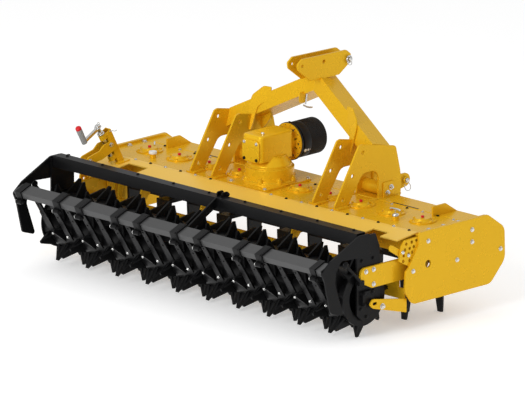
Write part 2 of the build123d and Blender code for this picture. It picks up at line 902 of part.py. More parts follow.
with BuildPart() as gearbox_cover:
    with BuildSketch(rear_view.offset(gear_box_rear)):
        with Locations((gearbox_x, pto_z)):
            RectangleRounded(2 * gear_cover_half_width, 2 * gear_cover_half_height, gear_cover_round)
    extrude(amount=gear_cover_thickness)
    dish_plane = rear_view.offset(gear_box_rear + gear_cover_thickness)
    extrude(disc_face(dish_plane, (gearbox_x, pto_z), gear_cover_dish_radius), amount=gear_cover_dish)
pieces["gearbox_cover"] = gearbox_cover

# Input: flange disc, guard round the shaft, and the turning input shaft.
with BuildPart() as pto_flange:
    with BuildSketch(rear_view.offset(-pto_flange_y - pto_flange_thickness)):
        with Locations((gearbox_x, pto_z)):
            Circle(pto_flange_radius)
            Circle(pto_collar_radius + cut_over, mode=Mode.SUBTRACT)
            with PolarLocations(pto_flange_hole_circle, pto_flange_hole_count):
                Circle(pto_flange_hole_radius, mode=Mode.SUBTRACT)
    extrude(amount=pto_flange_thickness)
pieces["pto_flange"] = pto_flange

guard_root_y = pto_flange_y + pto_flange_thickness
guard_step_y = guard_root_y + pto_guard_root_length
with BuildPart() as pto_guard:
    with BuildSketch(plan_view.offset(pto_z)):
        with BuildLine():
            Polyline(
                (gearbox_x + pto_guard_root_radius - pto_guard_wall, guard_root_y),
                (gearbox_x + pto_guard_root_radius, guard_root_y),
                (gearbox_x + pto_guard_root_radius, guard_step_y),
                (gearbox_x + pto_guard_mouth_radius, guard_step_y),
                (gearbox_x + pto_guard_mouth_radius, pto_guard_mouth_y),
                (gearbox_x + pto_guard_mouth_radius - pto_guard_wall, pto_guard_mouth_y),
                (gearbox_x + pto_guard_mouth_radius - pto_guard_wall, guard_step_y + pto_guard_wall),
                (gearbox_x + pto_guard_root_radius - pto_guard_wall, guard_step_y + pto_guard_wall),
                close=True,
            )
        make_face()
    revolve(axis=Axis((gearbox_x, rotor_line_y, pto_z), (0, 1, 0)))
pieces["pto_guard"] = pto_guard

with BuildPart() as pto_shaft:
    shaft_end_y = pto_flange_y + running_gap + pto_collar_length + pto_stub_length
    shaft_point = (gearbox_x, pto_z)
    extrude(disc_face(rear_view.offset(-shaft_end_y), shaft_point, pto_shaft_radius), amount=pto_stub_length)
    collar_plane = rear_view.offset(pto_stub_length - shaft_end_y)
    extrude(disc_face(collar_plane, shaft_point, pto_collar_radius), amount=pto_collar_length)
pieces["pto_shaft"] = pto_shaft

# Crank: leaning square post on a base plate, with two collars that hold the spindle behind it.
with BuildPart() as crank_tube:
    with BuildSketch(crank_plane(-crank_tube_size)):
        Rectangle(crank_tube_size, crank_tube_size)
        inner_size = crank_tube_size - 2 * crank_tube_wall
        Rectangle(inner_size, inner_size, mode=Mode.SUBTRACT)
    extrude(amount=crank_tube_size + crank_length)
    for share in (collar_low_share, collar_high_share):
        with BuildSketch(crank_plane(crank_length * share)):
            collar_depth = spindle_set_back - crank_tube_size / 2
            with Locations((0, -crank_tube_size / 2 - collar_depth / 2)):
                Rectangle(2 * collar_round, collar_depth)
            with Locations((0, -spindle_set_back)):
                Circle(collar_round)
                Circle(spindle_radius + running_gap, mode=Mode.SUBTRACT)
        extrude(amount=collar_height)
    base_points = [
        (-crank_foot_back - crank_base_length / 2, strip_top(crank_foot_back + crank_base_length / 2)),
        (-crank_foot_back + crank_base_length / 2, strip_top(crank_foot_back - crank_base_length / 2)),
    ]
    base_points += [(ahead, height + crank_base_thickness) for ahead, height in reversed(base_points)]
    base_plane = side_view.offset(crank_x - crank_base_half_width)
    extrude(sharp_face(base_plane, base_points), amount=2 * crank_base_half_width)
    spindle_way = disc_face(crank_plane(-crank_tube_size, spindle_point), (0, 0), spindle_radius + running_gap)
    extrude(spindle_way, amount=crank_tube_size + crank_length * collar_low_share, mode=Mode.SUBTRACT)
    under_points = [
        (-strip_rear, strip_top(strip_rear)),
        (-strip_fold, strip_top(strip_fold)),
        (-strip_fold, strip_top(strip_fold) - 2 * crank_tube_size),
        (-strip_rear, strip_top(strip_rear) - 2 * crank_tube_size),
    ]
    extrude(sharp_face(base_plane, under_points), amount=2 * crank_base_half_width, mode=Mode.SUBTRACT)
pieces["crank_tube"] = crank_tube

with BuildPart() as crank_spindle:
    low_plane = crank_plane(-spindle_lower_length, spindle_point)
    spindle_length = spindle_lower_length + crank_length + spindle_top_length
    extrude(disc_face(low_plane, (0, 0), spindle_radius), amount=spindle_length)
    eye_face = disc_face(
        side_view.offset(crank_x - spindle_radius), spindle_point(-spindle_lower_length), spindle_eye_radius
    )
    extrude(eye_face, amount=2 * spindle_radius)
    throw_plane = crank_plane(crank_length + spindle_top_length - 2 * crank_rod_radius, spindle_point)
    with BuildSketch(throw_plane):
        with Locations((0, -crank_throw / 2)):
            Rectangle(2 * crank_rod_radius, crank_throw + 2 * crank_rod_radius)
    extrude(amount=2 * crank_rod_radius)
    with BuildSketch(throw_plane):
        with Locations((0, -crank_throw)):
            Circle(crank_grip_radius)
    extrude(amount=crank_grip_length)
pieces["crank_spindle"] = crank_spindle

# The yoke's two plates lie against the post and reach back, joined by a pin.
with BuildPart() as crank_yoke:
    yoke_box = (-yoke_rear, -yoke_front, yoke_bottom_z, yoke_top_z)
    plate_gap = crank_tube_size / 2
    for plate_x in (crank_x - plate_gap - yoke_thickness, crank_x + plate_gap):
        extrude(round_face(side_view.offset(plate_x), yoke_shares, *yoke_box), amount=yoke_thickness)
    pin_centre = shared_points([(0.09, 0.19)], *yoke_box)[0]
    yoke_pin = disc_face(side_view.offset(crank_x - plate_gap), pin_centre, yoke_pin_radius)
    extrude(yoke_pin, amount=2 * plate_gap)
pieces["crank_yoke"] = crank_yoke


def trough_rear_at(height):
    """How far behind the rotor line the trough's rear wall stands at a height."""
    top = rim_z - trough_wall
    share = (top - height) / (top - trough_floor_z)
    return trough_wall_rear + (trough_floor_rear - trough_wall_rear) * share


# Guides on the trough's rear wall, beside which the levelling bar's hangers slide.
with BuildPart() as bar_guides:
    guide_points = [
        (-trough_rear_at(guide_top_z), guide_top_z),
        (-guide_rear, guide_top_z),
        (-guide_rear, guide_bottom_z),
        (-trough_rear_at(guide_bottom_z), guide_bottom_z),
    ]
    for share in hanger_place_shares:
        extrude(sharp_face(side_view.offset(half_width * share), guide_points), amount=hanger_thickness)
pieces["bar_guides"] = bar_guides

with BuildPart() as arm_pivots:
    pivot_start = half_width + trough_end_thickness
    pivot_length = arm_outer_x + arm_gap - pivot_start
    extrude(disc_face(side_view.offset(pivot_start), pivot_point, pivot_pin_radius), amount=pivot_length)
    cap_plane = side_view.offset(arm_outer_x + arm_gap)
    extrude(disc_face(cap_plane, pivot_point, pivot_head_radius), amount=pivot_head_thickness)
    mirror(about=middle)
pieces["arm_pivots"] = arm_pivots

# Levelling bar: folded plate with lips, a lower wing at each end under the arms, and hangers above.
tab_inner_x = arm_outer_x + tab_room
with BuildPart() as levelling_bar:
    lip_front = -level_rear + level_lip
    plate_front = -level_rear + level_plate_thickness
    level_outline = [
        (-level_rear, level_bottom_z),
        (lip_front, level_bottom_z),
        (lip_front, level_bottom_z + level_plate_thickness),
        (plate_front, level_bottom_z + level_plate_thickness),
        (plate_front, level_top_z - level_plate_thickness),
        (lip_front, level_top_z - level_plate_thickness),
        (lip_front, level_top_z),
        (-level_rear, level_top_z),
    ]
    extrude(sharp_face(side_view.offset(-half_width), level_outline), amount=2 * half_width)
pieces["levelling_bar"] = levelling_bar

with BuildPart() as bar_wings:
    with BuildSketch(rear_view.offset(level_rear - level_plate_thickness)):
        with Locations(((half_width + tab_inner_x) / 2, (wing_top_z + wing_bottom_z) / 2)):
            Rectangle(tab_inner_x - half_width, wing_top_z - wing_bottom_z)
    extrude(amount=level_plate_thickness)
    mirror(about=middle)
pieces["bar_wings"] = bar_wings

with BuildPart() as bar_hangers:
    hanger_points = [
        (-level_rear, level_top_z),
        (-level_rear + hanger_foot, level_top_z),
        (-hanger_front, guide_bottom_z),
        (-hanger_front, hanger_top_z),
        (-guide_rear, hanger_top_z),
        (-level_rear, (level_top_z + guide_bottom_z) / 2),
    ]
    for share in hanger_place_shares:
        hanger_plane = side_view.offset(half_width * share - hanger_gap - hanger_thickness)
        extrude(sharp_face(hanger_plane, hanger_points), amount=hanger_thickness)
    eye_ahead, eye_z = spindle_point(-spindle_lower_length)
    ear_points = [
        (-level_rear, level_top_z),
        (-level_rear + hanger_foot, level_top_z),
        (eye_ahead + spindle_eye_radius, eye_z - spindle_eye_radius),
        (eye_ahead + spindle_eye_radius, eye_z + spindle_eye_radius),
        (eye_ahead - spindle_eye_radius, eye_z + spindle_eye_radius),
        (-level_rear, (level_top_z + eye_z) / 2),
    ]
    ear_offset = spindle_radius + ear_gap
    for ear_x in (crank_x - ear_offset - ear_thickness, crank_x + ear_offset):
        extrude(sharp_face(side_view.offset(ear_x), ear_points), amount=ear_thickness)
pieces["bar_hangers"] = bar_hangers

with BuildPart() as bar_tabs:
    tab_box = (-level_rear - tab_reach, plate_front, tab_bottom_z, tab_top_z)
    extrude(round_face(side_view.offset(tab_inner_x), tab_shares, *tab_box), amount=tab_thickness)
    slot_centre = shared_points([(0.14, 0.78)], *tab_box)[0]
    with BuildSketch(side_view.offset(tab_inner_x - cut_over)):
        with Locations(slot_centre):
            SlotCenterToCenter(2 * tab_slot_radius, 2 * tab_slot_radius)
    extrude(amount=tab_thickness + 2 * cut_over, mode=Mode.SUBTRACT)
    mirror(about=middle)
pieces["bar_tabs"] = bar_tabs

# Roller arms turn on the pivots.
with BuildPart() as arm_right:
    arm_box = (-arm_rear, -arm_front, arm_bottom_z, arm_top_z)
    extrude(round_face(side_view.offset(arm_inner_x), arm_shares, *arm_box), amount=arm_thickness)
    bore_plane = side_view.offset(arm_inner_x - cut_over)
    bore_face = disc_face(bore_plane, pivot_point, pivot_pin_radius + running_gap)
    extrude(bore_face, amount=arm_thickness + 2 * cut_over, mode=Mode.SUBTRACT)
pieces["arm_right"] = arm_right
pieces["arm_left"] = mirrored(arm_right)

# Roller end plates reach from the beam down past the bearing, with a square bearing block outside.
roller_point = (-roller_back, roller_z)
end_plate_inner_x = arm_inner_x - end_plate_thickness
roller_half_length = end_plate_inner_x - roller_end_gap
with BuildPart() as roller_end_plates:
    with BuildSketch(side_view.offset(end_plate_inner_x)):
        with BuildLine():
            Polyline(
                (-end_plate_rear, end_plate_bottom_z + end_plate_corner_rise),
                (-end_plate_rear, end_plate_top_z),
                (-end_plate_shoulder_front, end_plate_top_z),
                (-end_plate_front, end_plate_shoulder_z),
                (-end_plate_front, end_plate_bottom_z + end_plate_corner_rise),
                (-end_plate_front - end_plate_corner_run, end_plate_bottom_z),
                (-end_plate_rear + end_plate_corner_run, end_plate_bottom_z),
                close=True,
            )
        make_face()
        with Locations(roller_point):
            Circle(roller_shaft_radius + running_gap, mode=Mode.SUBTRACT)
    extrude(amount=end_plate_thickness)
    with BuildSketch(side_view.offset(arm_inner_x)):
        with Locations(roller_point):
            RectangleRounded(bearing_block_size, bearing_block_size, bearing_block_round)
            Circle(roller_shaft_radius + running_gap, mode=Mode.SUBTRACT)
    extrude(amount=bearing_block_depth)
    mirror(about=middle)
pieces["roller_end_plates"] = roller_end_plates

with BuildPart() as roller_beam:
    with BuildSketch(side_view.offset(-end_plate_inner_x)):
        with Locations((-roller_beam_back, roller_beam_z)):
            Rectangle(roller_beam_size, roller_beam_size)
            inner_size = roller_beam_size - 2 * roller_beam_wall
            Rectangle(inner_size, inner_size, mode=Mode.SUBTRACT)
    extrude(amount=2 * end_plate_inner_x)
pieces["roller_beam"] = roller_beam

with BuildPart() as end_struts:
    strut_box = (-strut_rear, -strut_front, strut_bottom_z, strut_top_z)
    extrude(round_face(side_view.offset(arm_inner_x), strut_shares, *strut_box), amount=strut_thickness)
    mirror(about=middle)
pieces["end_struts"] = end_struts


def bar_point(along, below):
    """Point of the tilted scraper bar: along its top from the front edge, and square below the top."""
    tilt = radians(bar_tilt)
    ahead = -bar_front_back - along * cos(tilt) + below * sin(tilt)
    height = bar_front_z - along * sin(tilt) - below * cos(tilt)
    return (ahead, height)


with BuildPart() as scraper_bar:
    bar_outer = [bar_point(0, 0), bar_point(bar_width, 0), bar_point(bar_width, bar_depth), bar_point(0, bar_depth)]
    bar_inner = [
        bar_point(bar_wall, bar_wall),
        bar_point(bar_width - bar_wall, bar_wall),
        bar_point(bar_width - bar_wall, bar_depth - bar_wall),
        bar_point(bar_wall, bar_depth - bar_wall),
    ]
    extrude(tube_face(side_view.offset(-arm_inner_x), bar_outer, bar_inner), amount=2 * arm_inner_x)
pieces["scraper_bar"] = scraper_bar

with BuildPart() as mid_strut:
    beam_rear_face = -roller_beam_back - roller_beam_size / 2
    beam_top = roller_beam_z + roller_beam_size / 2
    strut_points = [
        (beam_rear_face, beam_top),
        (beam_rear_face, beam_top - roller_beam_size + mid_strut_foot / 2),
        bar_point(0, bar_depth),
        bar_point(0, 0),
    ]
    extrude(sharp_face(side_view.offset(mid_strut_x), strut_points), amount=strut_thickness)
pieces["mid_strut"] = mid_strut

carrier_low = bar_depth + carrier_thickness
with BuildPart() as scraper_carrier:
    carrier_points = [
        bar_point(strip_inset, bar_depth),
        bar_point(bar_width - strip_inset, bar_depth),
        bar_point(bar_width - strip_inset, carrier_low),
        bar_point(strip_inset, carrier_low),
    ]
    extrude(sharp_face(side_view.offset(-arm_inner_x), carrier_points), amount=2 * arm_inner_x)
pieces["scraper_carrier"] = scraper_carrier

# Scrapers hang between the rings of teeth and end just off the drum.
ring_count = rotor_count * tooth_rings_per_rotor
ring_pitch = rotor_pitch / tooth_rings_per_rotor
ring_places = [(index + 0.5) * ring_pitch - half_width for index in range(ring_count)]
scraper_places = [place + ring_pitch / 2 for place in ring_places[:-1]]
with BuildPart() as scrapers:
    reach = drum_radius + scraper_gap
    slope = radians(scraper_angle)
    tip = (-roller_back - reach * cos(slope), roller_z - reach * sin(slope))
    scraper_points = [
        bar_point(scraper_root, carrier_low),
        tip,
        (tip[0] - scraper_thickness * cos(slope), tip[1] - scraper_thickness * sin(slope)),
        bar_point(scraper_root + scraper_thickness, carrier_low),
    ]
    for place in scraper_places:
        scraper_plane = side_view.offset(place - scraper_width / 2)
        extrude(sharp_face(scraper_plane, scraper_points), amount=scraper_width)
pieces["scrapers"] = scrapers

# Clamps strap the bar from above; each has a knuckle at the lower rear edge.
with BuildPart() as scraper_clamps:
    clamp_low = bar_depth + clamp_leg
    for share in clamp_place_shares:
        with BuildSketch(side_view.offset(half_width * share - clamp_half_width)):
            with BuildLine():
                Polyline(
                    bar_point(0, 0),
                    bar_point(0, clamp_low),
                    bar_point(-clamp_thickness, clamp_low),
                    bar_point(-clamp_thickness, -clamp_thickness),
                    bar_point(bar_width + clamp_thickness, -clamp_thickness),
                    bar_point(bar_width + clamp_thickness, clamp_low),
                    bar_point(bar_width, clamp_low),
                    bar_point(bar_width, 0),
                    close=True,
                )
            make_face()
            with Locations(bar_point(bar_width + clamp_knuckle_radius, clamp_low)):
                Circle(clamp_knuckle_radius)
        extrude(amount=2 * clamp_half_width)
pieces["scraper_clamps"] = scraper_clamps

# The roller's drum is a tube with a ring at each end, and a web with the shaft stub further in.
drum_half_length = roller_half_length - flange_thickness
with BuildPart() as roller_drum:
    drum_face = disc_face(side_view.offset(-drum_half_length), roller_point, drum_radius, drum_radius - drum_wall)
    extrude(drum_face, amount=2 * drum_half_length)
pieces["roller_drum"] = roller_drum

with BuildPart() as roller_flanges:
    ring_face = disc_face(side_view.offset(drum_half_length), roller_point, flange_radius, flange_bore_radius)
    extrude(ring_face, amount=flange_thickness)
    web_x = drum_half_length - flange_recess
    extrude(disc_face(side_view.offset(web_x), roller_point, drum_radius - drum_wall), amount=flange_thickness)
    stub_length = arm_inner_x + bearing_block_depth - web_x
    extrude(disc_face(side_view.offset(web_x), roller_point, roller_shaft_radius), amount=stub_length)
    mirror(about=middle)
pieces["roller_flanges"] = roller_flanges


def tooth_solid():
    """One tooth pointing down at the middle plane: a swept-back plate and a cross wing, with a flat-sided foot."""
    tip_drop = (roller_z**2 - (tooth_tip_width / 2) ** 2) ** 0.5
    root = drum_radius - tooth_root_depth
    with BuildPart() as tooth:
        plate_points = [
            (-roller_back - tooth_trail, roller_z - root),
            (-roller_back - tooth_tip_width / 2, roller_z - tip_drop),
            (-roller_back + tooth_tip_width / 2, roller_z - tip_drop),
            (-roller_back + tooth_lead, roller_z - root),
        ]
        plate_plane = side_view.offset(-tooth_plate_thickness / 2)
        extrude(sharp_face(plate_plane, plate_points), amount=tooth_plate_thickness)
        wing_points = [
            (-wing_half_width, roller_z - root),
            (-wing_tip_half_width, roller_z - tip_drop + wing_tip_short),
            (wing_tip_half_width, roller_z - tip_drop + wing_tip_short),
            (wing_half_width, roller_z - root),
        ]
        wing_plane = rear_view.offset(roller_back + tooth_tip_width / 2 - wing_thickness / 2)
        extrude(sharp_face(wing_plane, wing_points), amount=wing_thickness)
        with BuildSketch(side_view.offset(-half_width)):
            with Locations(roller_point):
                RegularPolygon(drum_radius, drum_flat_count, major_radius=False)
        extrude(amount=2 * half_width, mode=Mode.SUBTRACT)
    return tooth.part


# Teeth of neighbouring rings stand half a tooth pitch apart.
roller_axis = Axis((0, rotor_line_y - roller_back, roller_z), (1, 0, 0))
tooth_step = 360 / teeth_per_ring
one_tooth = tooth_solid()
tooth_rows = [
    [one_tooth.rotate(roller_axis, (index + shift / 2) * tooth_step) for index in range(teeth_per_ring)]
    for shift in (1, 0)
]
roller_teeth = Compound(
    children=[
        tooth.moved(Location((place, 0, 0)))
        for ring, place in enumerate(ring_places)
        for tooth in tooth_rows[ring % 2]
    ]
)


def rotor_part(place, quarter):
    """Hub with a cross arm and two knife tines, turned by a quarter for every second rotor."""
    hub_top = trough_floor_z - rotor_boss_depth - running_gap
    hub_low = hub_top - rotor_hub_height
    turned = Plane(origin=(place, rotor_line_y, 0), x_dir=(1 - quarter, quarter, 0), z_dir=(0, 0, 1))
    with BuildPart() as rotor:
        with BuildSketch(turned.offset(hub_low)):
            Circle(rotor_hub_radius)
        extrude(amount=rotor_hub_height)
        with BuildSketch(turned.offset(hub_low - rotor_arm_height)):
            RectangleRounded(
                2 * tine_radius + tine_thickness,
                2 * rotor_arm_half_width,
                rotor_arm_half_width / 2,
            )
        extrude(amount=rotor_arm_height)
        for end_sign in (-1, 1):
            blade_x = end_sign * tine_radius - tine_thickness / 2
            blade_plane = Plane(
                origin=turned.from_local_coords(Vector(blade_x, 0, 0)),
                x_dir=turned.y_dir,
                z_dir=turned.x_dir,
            )
            sweep = -end_sign * tine_sweep
            blade_points = [
                (-tine_root_half_width, hub_low),
                (tine_root_half_width, hub_low),
                (tine_waist_half_width, tine_waist_z),
                (sweep + tine_tip_half_width, 0),
                (sweep - tine_tip_half_width, 0),
                (-tine_waist_half_width, tine_waist_z),
            ]
            extrude(sharp_face(blade_plane, blade_points), amount=tine_thickness)
    return rotor


for number, place in enumerate(rotor_places, start=1):
    pieces[f"rotor_{number:02d}"] = rotor_part(place, (number + 1) % 2)

os.makedirs("parts", exist_ok=True)
for name, piece in pieces.items():
    piece.part.label = name
    export_step(piece.part, f"parts/{name}.step")
roller_teeth.label = "roller_teeth"
export_step(roller_teeth, "parts/roller_teeth.step")
print(len(pieces) + 1, "pieces")
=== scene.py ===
import json
from math import cos, pi, radians, sin

import bmesh
import bpy
import numpy as np
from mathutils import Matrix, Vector


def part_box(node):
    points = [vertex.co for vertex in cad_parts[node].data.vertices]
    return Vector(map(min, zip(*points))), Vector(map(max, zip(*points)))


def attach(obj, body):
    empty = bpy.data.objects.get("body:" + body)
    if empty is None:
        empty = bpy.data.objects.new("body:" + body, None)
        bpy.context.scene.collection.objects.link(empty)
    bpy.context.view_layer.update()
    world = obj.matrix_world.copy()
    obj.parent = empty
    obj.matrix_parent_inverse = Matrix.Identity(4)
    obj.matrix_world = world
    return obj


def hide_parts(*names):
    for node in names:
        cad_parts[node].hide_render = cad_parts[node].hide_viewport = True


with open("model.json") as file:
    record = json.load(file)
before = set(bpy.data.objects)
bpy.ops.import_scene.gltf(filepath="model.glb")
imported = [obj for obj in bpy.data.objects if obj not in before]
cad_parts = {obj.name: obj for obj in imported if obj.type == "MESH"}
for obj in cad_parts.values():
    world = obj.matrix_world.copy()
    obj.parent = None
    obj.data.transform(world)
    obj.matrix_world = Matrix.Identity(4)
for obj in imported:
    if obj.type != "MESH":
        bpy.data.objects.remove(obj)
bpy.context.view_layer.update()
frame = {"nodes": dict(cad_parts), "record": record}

# Places are in millimetres: across, ahead of the rotors' row, and up. to_metres() puts them in the
# frame. A pair of numbers is a place seen from the side: ahead and up.
MM = 0.001
ROTOR_LINE = sum(corner.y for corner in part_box("rotor_02")) / 2
RIGHT, LEFT, BACK, AHEAD, UP = (1, 0, 0), (-1, 0, 0), (0, -1, 0), (0, 1, 0), (0, 0, 1)
SIDES = (-1, 1)

# Mesh: the reach in metres within which points are merged, the angle from which a fold stays
# sharp, and the few columns of small heads.
MERGE_REACH = 0.00001
SHARP_FOLD = radians(35)
FEW = 12

# Camera: a long lens from behind on the machine's right, in metres.
AZIMUTH, ELEVATION = radians(45), radians(15)
VIEW_WIDTH, VIEW_DISTANCE = 3.066, 80.0
VIEW_CENTRE = Vector((-0.0920, ROTOR_LINE - 0.0920, 0.478))
SENSOR_WIDTH = 36.0

# Floor, sky and lights, in metres and watts: a sky stop is a height and its grey, and a light has
# its place, size and power.
FLOOR_HALF, FLOOR_GREY, FLOOR_GLOW = 60.0, 0.86, 0.36
SKY_GREYS = [(0.0, 0.45), (0.3, 0.60), (0.8, 0.68)]
LIGHT_AIM = (0.0, 0.0, 0.4)
LIGHTS = {"key": ((1.4, -7.9, 4.2), 4.0, 400.0), "top": ((-1.0, 1.0, 7.0), 5.0, 50.0)}

# Deck: rows of bolts on the rear strip and the front beam, which leave the gearbox and the
# headstock free, the caps over the rotors, and two thin dark strips that stand in for the shaded
# slits between the deck and the front beam: painted shadow.
HALF_WIDTH, ROTOR_PITCH, ROTORS = 1250, 250, 10
DECK_TOP = 566
GEARBOX_X = -125
ROW_BOLTS, ROW_PITCH, ROW_INSET = 20, 125, 12.5
STRIP_ROW, FRONT_ROW = (-226, 574), (140, DECK_TOP)
GEARBOX_GAP = 150
HEADSTOCK_MIDDLE, HEADSTOCK_GAP = 505, 130
CAP_FLANGE_TOP, CAP_HUB_TOP = 573, 587
CAP_BOLT_CIRCLE, CAP_BOLTS, CAP_RIM_RADIUS, CAP_RIM_WIRE = 67, 6, 59, 3.5
SLIT_SHADOW_PLACE, SLIT_SHADOW_LENGTH, SLIT_SHADOW_RADIUS, SLIT_SHADOW_DEPTH = (820, 174), 196, 5, 1.2

# Filler on the left of the deck, dipstick on the right, and a lifting eye.
NECK_X, NECK_AHEAD, NECK_RADIUS = 1000, -96, 19
LID_UP, FILLER_RADIUS, STICK_LID_RADIUS = DECK_TOP + 24, 24, 20
STICK_HEIGHTS, STICK_RADIUS = (-2, 20, 42), 5
HANDLE, HANDLE_RADIUS = [(-42, 38), (-25, 42), (25, 42), (42, 38)], 6
EYE_PLACE, EYE_WAY, EYE_RADIUS, EYE_WIRE = (-1160, 76, DECK_TOP + 17), (1, 1, 0), 15, 5

# Side plates, stop plates, arms and the levelling bar's tabs.
SIDE_FACE = 1333
SIDE_BOLTS = [(-166, 517), (197, 516), (197, 443), (-290, 360), (73, 359), (434, 357)]
STOP_FACE, STOP_PINS = 1321, [(-364, 484), (-317, 458)]
END_ROW_X, END_ROW = 1292, (-120, 0, 123)
LEVER_REAR, LEVER_FRONT = np.array([-440.0, 519.0]), np.array([-362.0, 470.0])
LEVER_INNER, LEVER_DEPTH, LEVER_RADIUS = 1298, 10, 19
ARM_FACE, ARM_BOLTS = 1280, [(-623, 411), (-561, 414), (-561, 327)]
TAB_FACE, TAB_BOLT = 1306, (-515, 190)

# Roller ends, with their bearing blocks, and the brace rods from the struts to the end plates.
END_FACE, END_STUD = 1265, (-650, 592)
END_BOLTS = [
    (-585, 518), (-549, 477), (-641, 475), (-549, 282),
    (-648, 283), (-650, 190), (-604, 137), (-535, 200),
]
BLOCK_FACE, BLOCK_BOLT = 1283, 33
ROLLER_PLACE = (-605, 250)
STRUT_FACE, BRACE_GAP, BRACE_RADIUS = 1277, 9, 9
BRACE_TOP, BRACE_MIDDLE, BRACE_FOOT = (-792, 482), (-728, 417), (-664, 352)
BRACE_PAD, BRACE_PAD_DEPTH = (20, 16), 26

# Scraper bar, its carrier strip, its straps and knuckles, and the scrapers. Shares are of the half
# width, and the outermost knuckles have no strap. Steps run along a scraper, and clearances stand
# off its rear.
BAR_FRONT, BAR_FRONT_UP, BAR_TILT = -905, 509, radians(22)
BAR_WIDTH, BAR_DEPTH, CARRIER_LOW = 80, 40, 48
STRAP_SHARES = np.array(
    [-0.978, -0.730, -0.581, -0.344, -0.195, 0.051, 0.202, 0.462, 0.608, 0.962]
)
KNUCKLE_HALF, KNUCKLE_ALONG, KNUCKLE_BELOW = 22, 95, 58
STRAP_WIRE, STRAP_OFFSET, STRAP_REACH = 6, 9, 1190
FRONT_BOLT = (-9, 24)
SCRAPER_ROOT, SCRAPER_TIP = 48, np.array([-765.0, 195.0])
HOLDER_STEP, HOLDER_CLEARANCE, HOLDER_HALVES, HOLDER_SHIFT = 70, 9.5, (10, 68), 14
HOLDER_BOLT_STEPS, HOLDER_DEPTH = (-42, 30), 8
TIP_BOLT_STEP, TIP_BOLT_CLEARANCE, TIP_BOLT_SHIFT = 26, 10, -8

# Roller beam: clamp ears at the middle strut and a row of bolts.
CLAMP_PLACE, CLAMP_EARS, CLAMP_DEPTH, CLAMP_BOLT = (-612, 650), (84, 124), 8, 12
CLAMP_LENGTH, CLAMP_RADIUS = 26, 15
BEAM_ROW, BEAM_ROW_REACH, BEAM_ROW_BOLTS = (-622, 640), 1180, 9

# Gearbox: cover, foot, base and breather. A pair of halves or of bolt steps is measured from the
# middle.
PTO_UP = 780
COVER_FACE, COVER_DEPTH, COVER_HALVES, COVER_BOLT = -150, 10, (70, 67), (50, 49)
FOOT_CIRCLE, FOOT_BOLTS, FOOT_TOP = 145, 8, 612
BASE_BOLT, BASE_TOP = (138, 178), 578
BREATHER = (GEARBOX_X + 38, -95, 875)

# Guard round the input shaft: its lengths run ahead along the shaft, and a stud has its place
# there and its size.
GUARD_ROOT, GUARD_STEP, GUARD_MOUTH = 159, 185, 369
GUARD_ROOT_RADIUS, GUARD_RADIUS, GUARD_WALL, GUARD_FLANGE = 96, 108, 5, 114
GUARD_BAND_END = GUARD_STEP + 58
RIB_START, RIB_END, RIB_ROWS = GUARD_STEP + 66, GUARD_MOUTH - 8, 120
RIB_PITCH, RIB_HEIGHT = 8.0, 1.2
STUD_TURN = radians(-24)
STUDS = [(196, 11), (220, 8), (238, 4)]
FLANGE_FACE, FLANGE_CIRCLE, FLANGE_BUTTONS = 150, 101, 16
SLOT_CIRCLE, SLOTS, SLOT_LENGTH, SLOT_RADIUS, SLOT_DEPTH = 72, 8, 17, 3.6, 0.8
KNOB_PLACE = (GEARBOX_X, 164, PTO_UP + GUARD_FLANGE - 2)

# Input shaft: collar, splines, and a groove for the lock, measured back from the shaft's end.
SHAFT_START, SHAFT_COLLAR, SHAFT_END = 150.3, 210.3, 305.3
SHAFT_RADIUS, SHAFT_COLLAR_RADIUS = 17.45, 26
LOCK_DEPTH, LOCK_FROM_END = 3, (36, 33, 27, 24)
SHAFT_COLUMNS = 144
SPLINES, SPLINE_DEPTH, SPLINE_STEEPNESS, SPLINE_SHIFT = 6, 2.4, 14.0, 0.1

# Headstock and linkage pins. The faces are those of the headstock plates on one side.
HEADSTOCK_FACES = (410.5, 422.5, 587.5, 599.5)
PAD_PLACE, PAD_HALVES, PAD_DEPTH = (251, 606), (46, 52), 8
PAD_BOLTS = [(267, 622), (237, 592)]
HITCH_PIN, HITCH_PIN_END = (404, 635), 600
HITCH_RING_PLACE, HITCH_RING_WAY = (410, 595), (1, 0, 0.3)
TOP_PIN, TOP_PIN_END = (477, 1251), 60
TOP_RING_PLACE, TOP_RING_WAY = (477, 1233), (1, 0, 0.35)

# Welds along the feet of the headstock plates and round the gearbox base.
WELD_START, WELD_LENGTH, WELD_RADIUS, WELD_RIPPLE, WELD_RIPPLES = -186, 542, 3.6, 0.9, 60
BASE_WELD_RADIUS, BASE_WELD_UP = 159, 579

# Hook under the mast, and collar plates on the rear of its feet: corners are across and up.
BRACKET_PLACE, BRACKET_HALF, BRACKET_DEPTH = (-74, 220, 1046), 32, 8
HOOK_TOP, HOOK_DROP, HOOK_WIRE = (-60, 246, 1086), (0, -14, -84), 5
HOOK_FOOT, HOOK_FOOT_RUN, HOOK_SAG = (-60, 214, 1000), (66, 6, 0), (0, 0, -6)
COLLAR_MIDDLE, COLLAR_AHEAD, COLLAR_DEPTH, COLLAR_EDGE = np.array([405.0, 985.0]), 170, 10, 1.2
COLLAR_RUN, COLLAR_RISE = (0.9757, -0.2192), (0, 0.243, 0.970)
COLLAR_CORNERS = np.array(
    [
        (313.0, 1066.0), (313.0, 995.0), (383.0, 943.0), (400.0, 800.0),
        (425.0, 800.0), (440.0, 952.0), (430.0, 1005.0), (365.0, 1066.0),
    ]
)

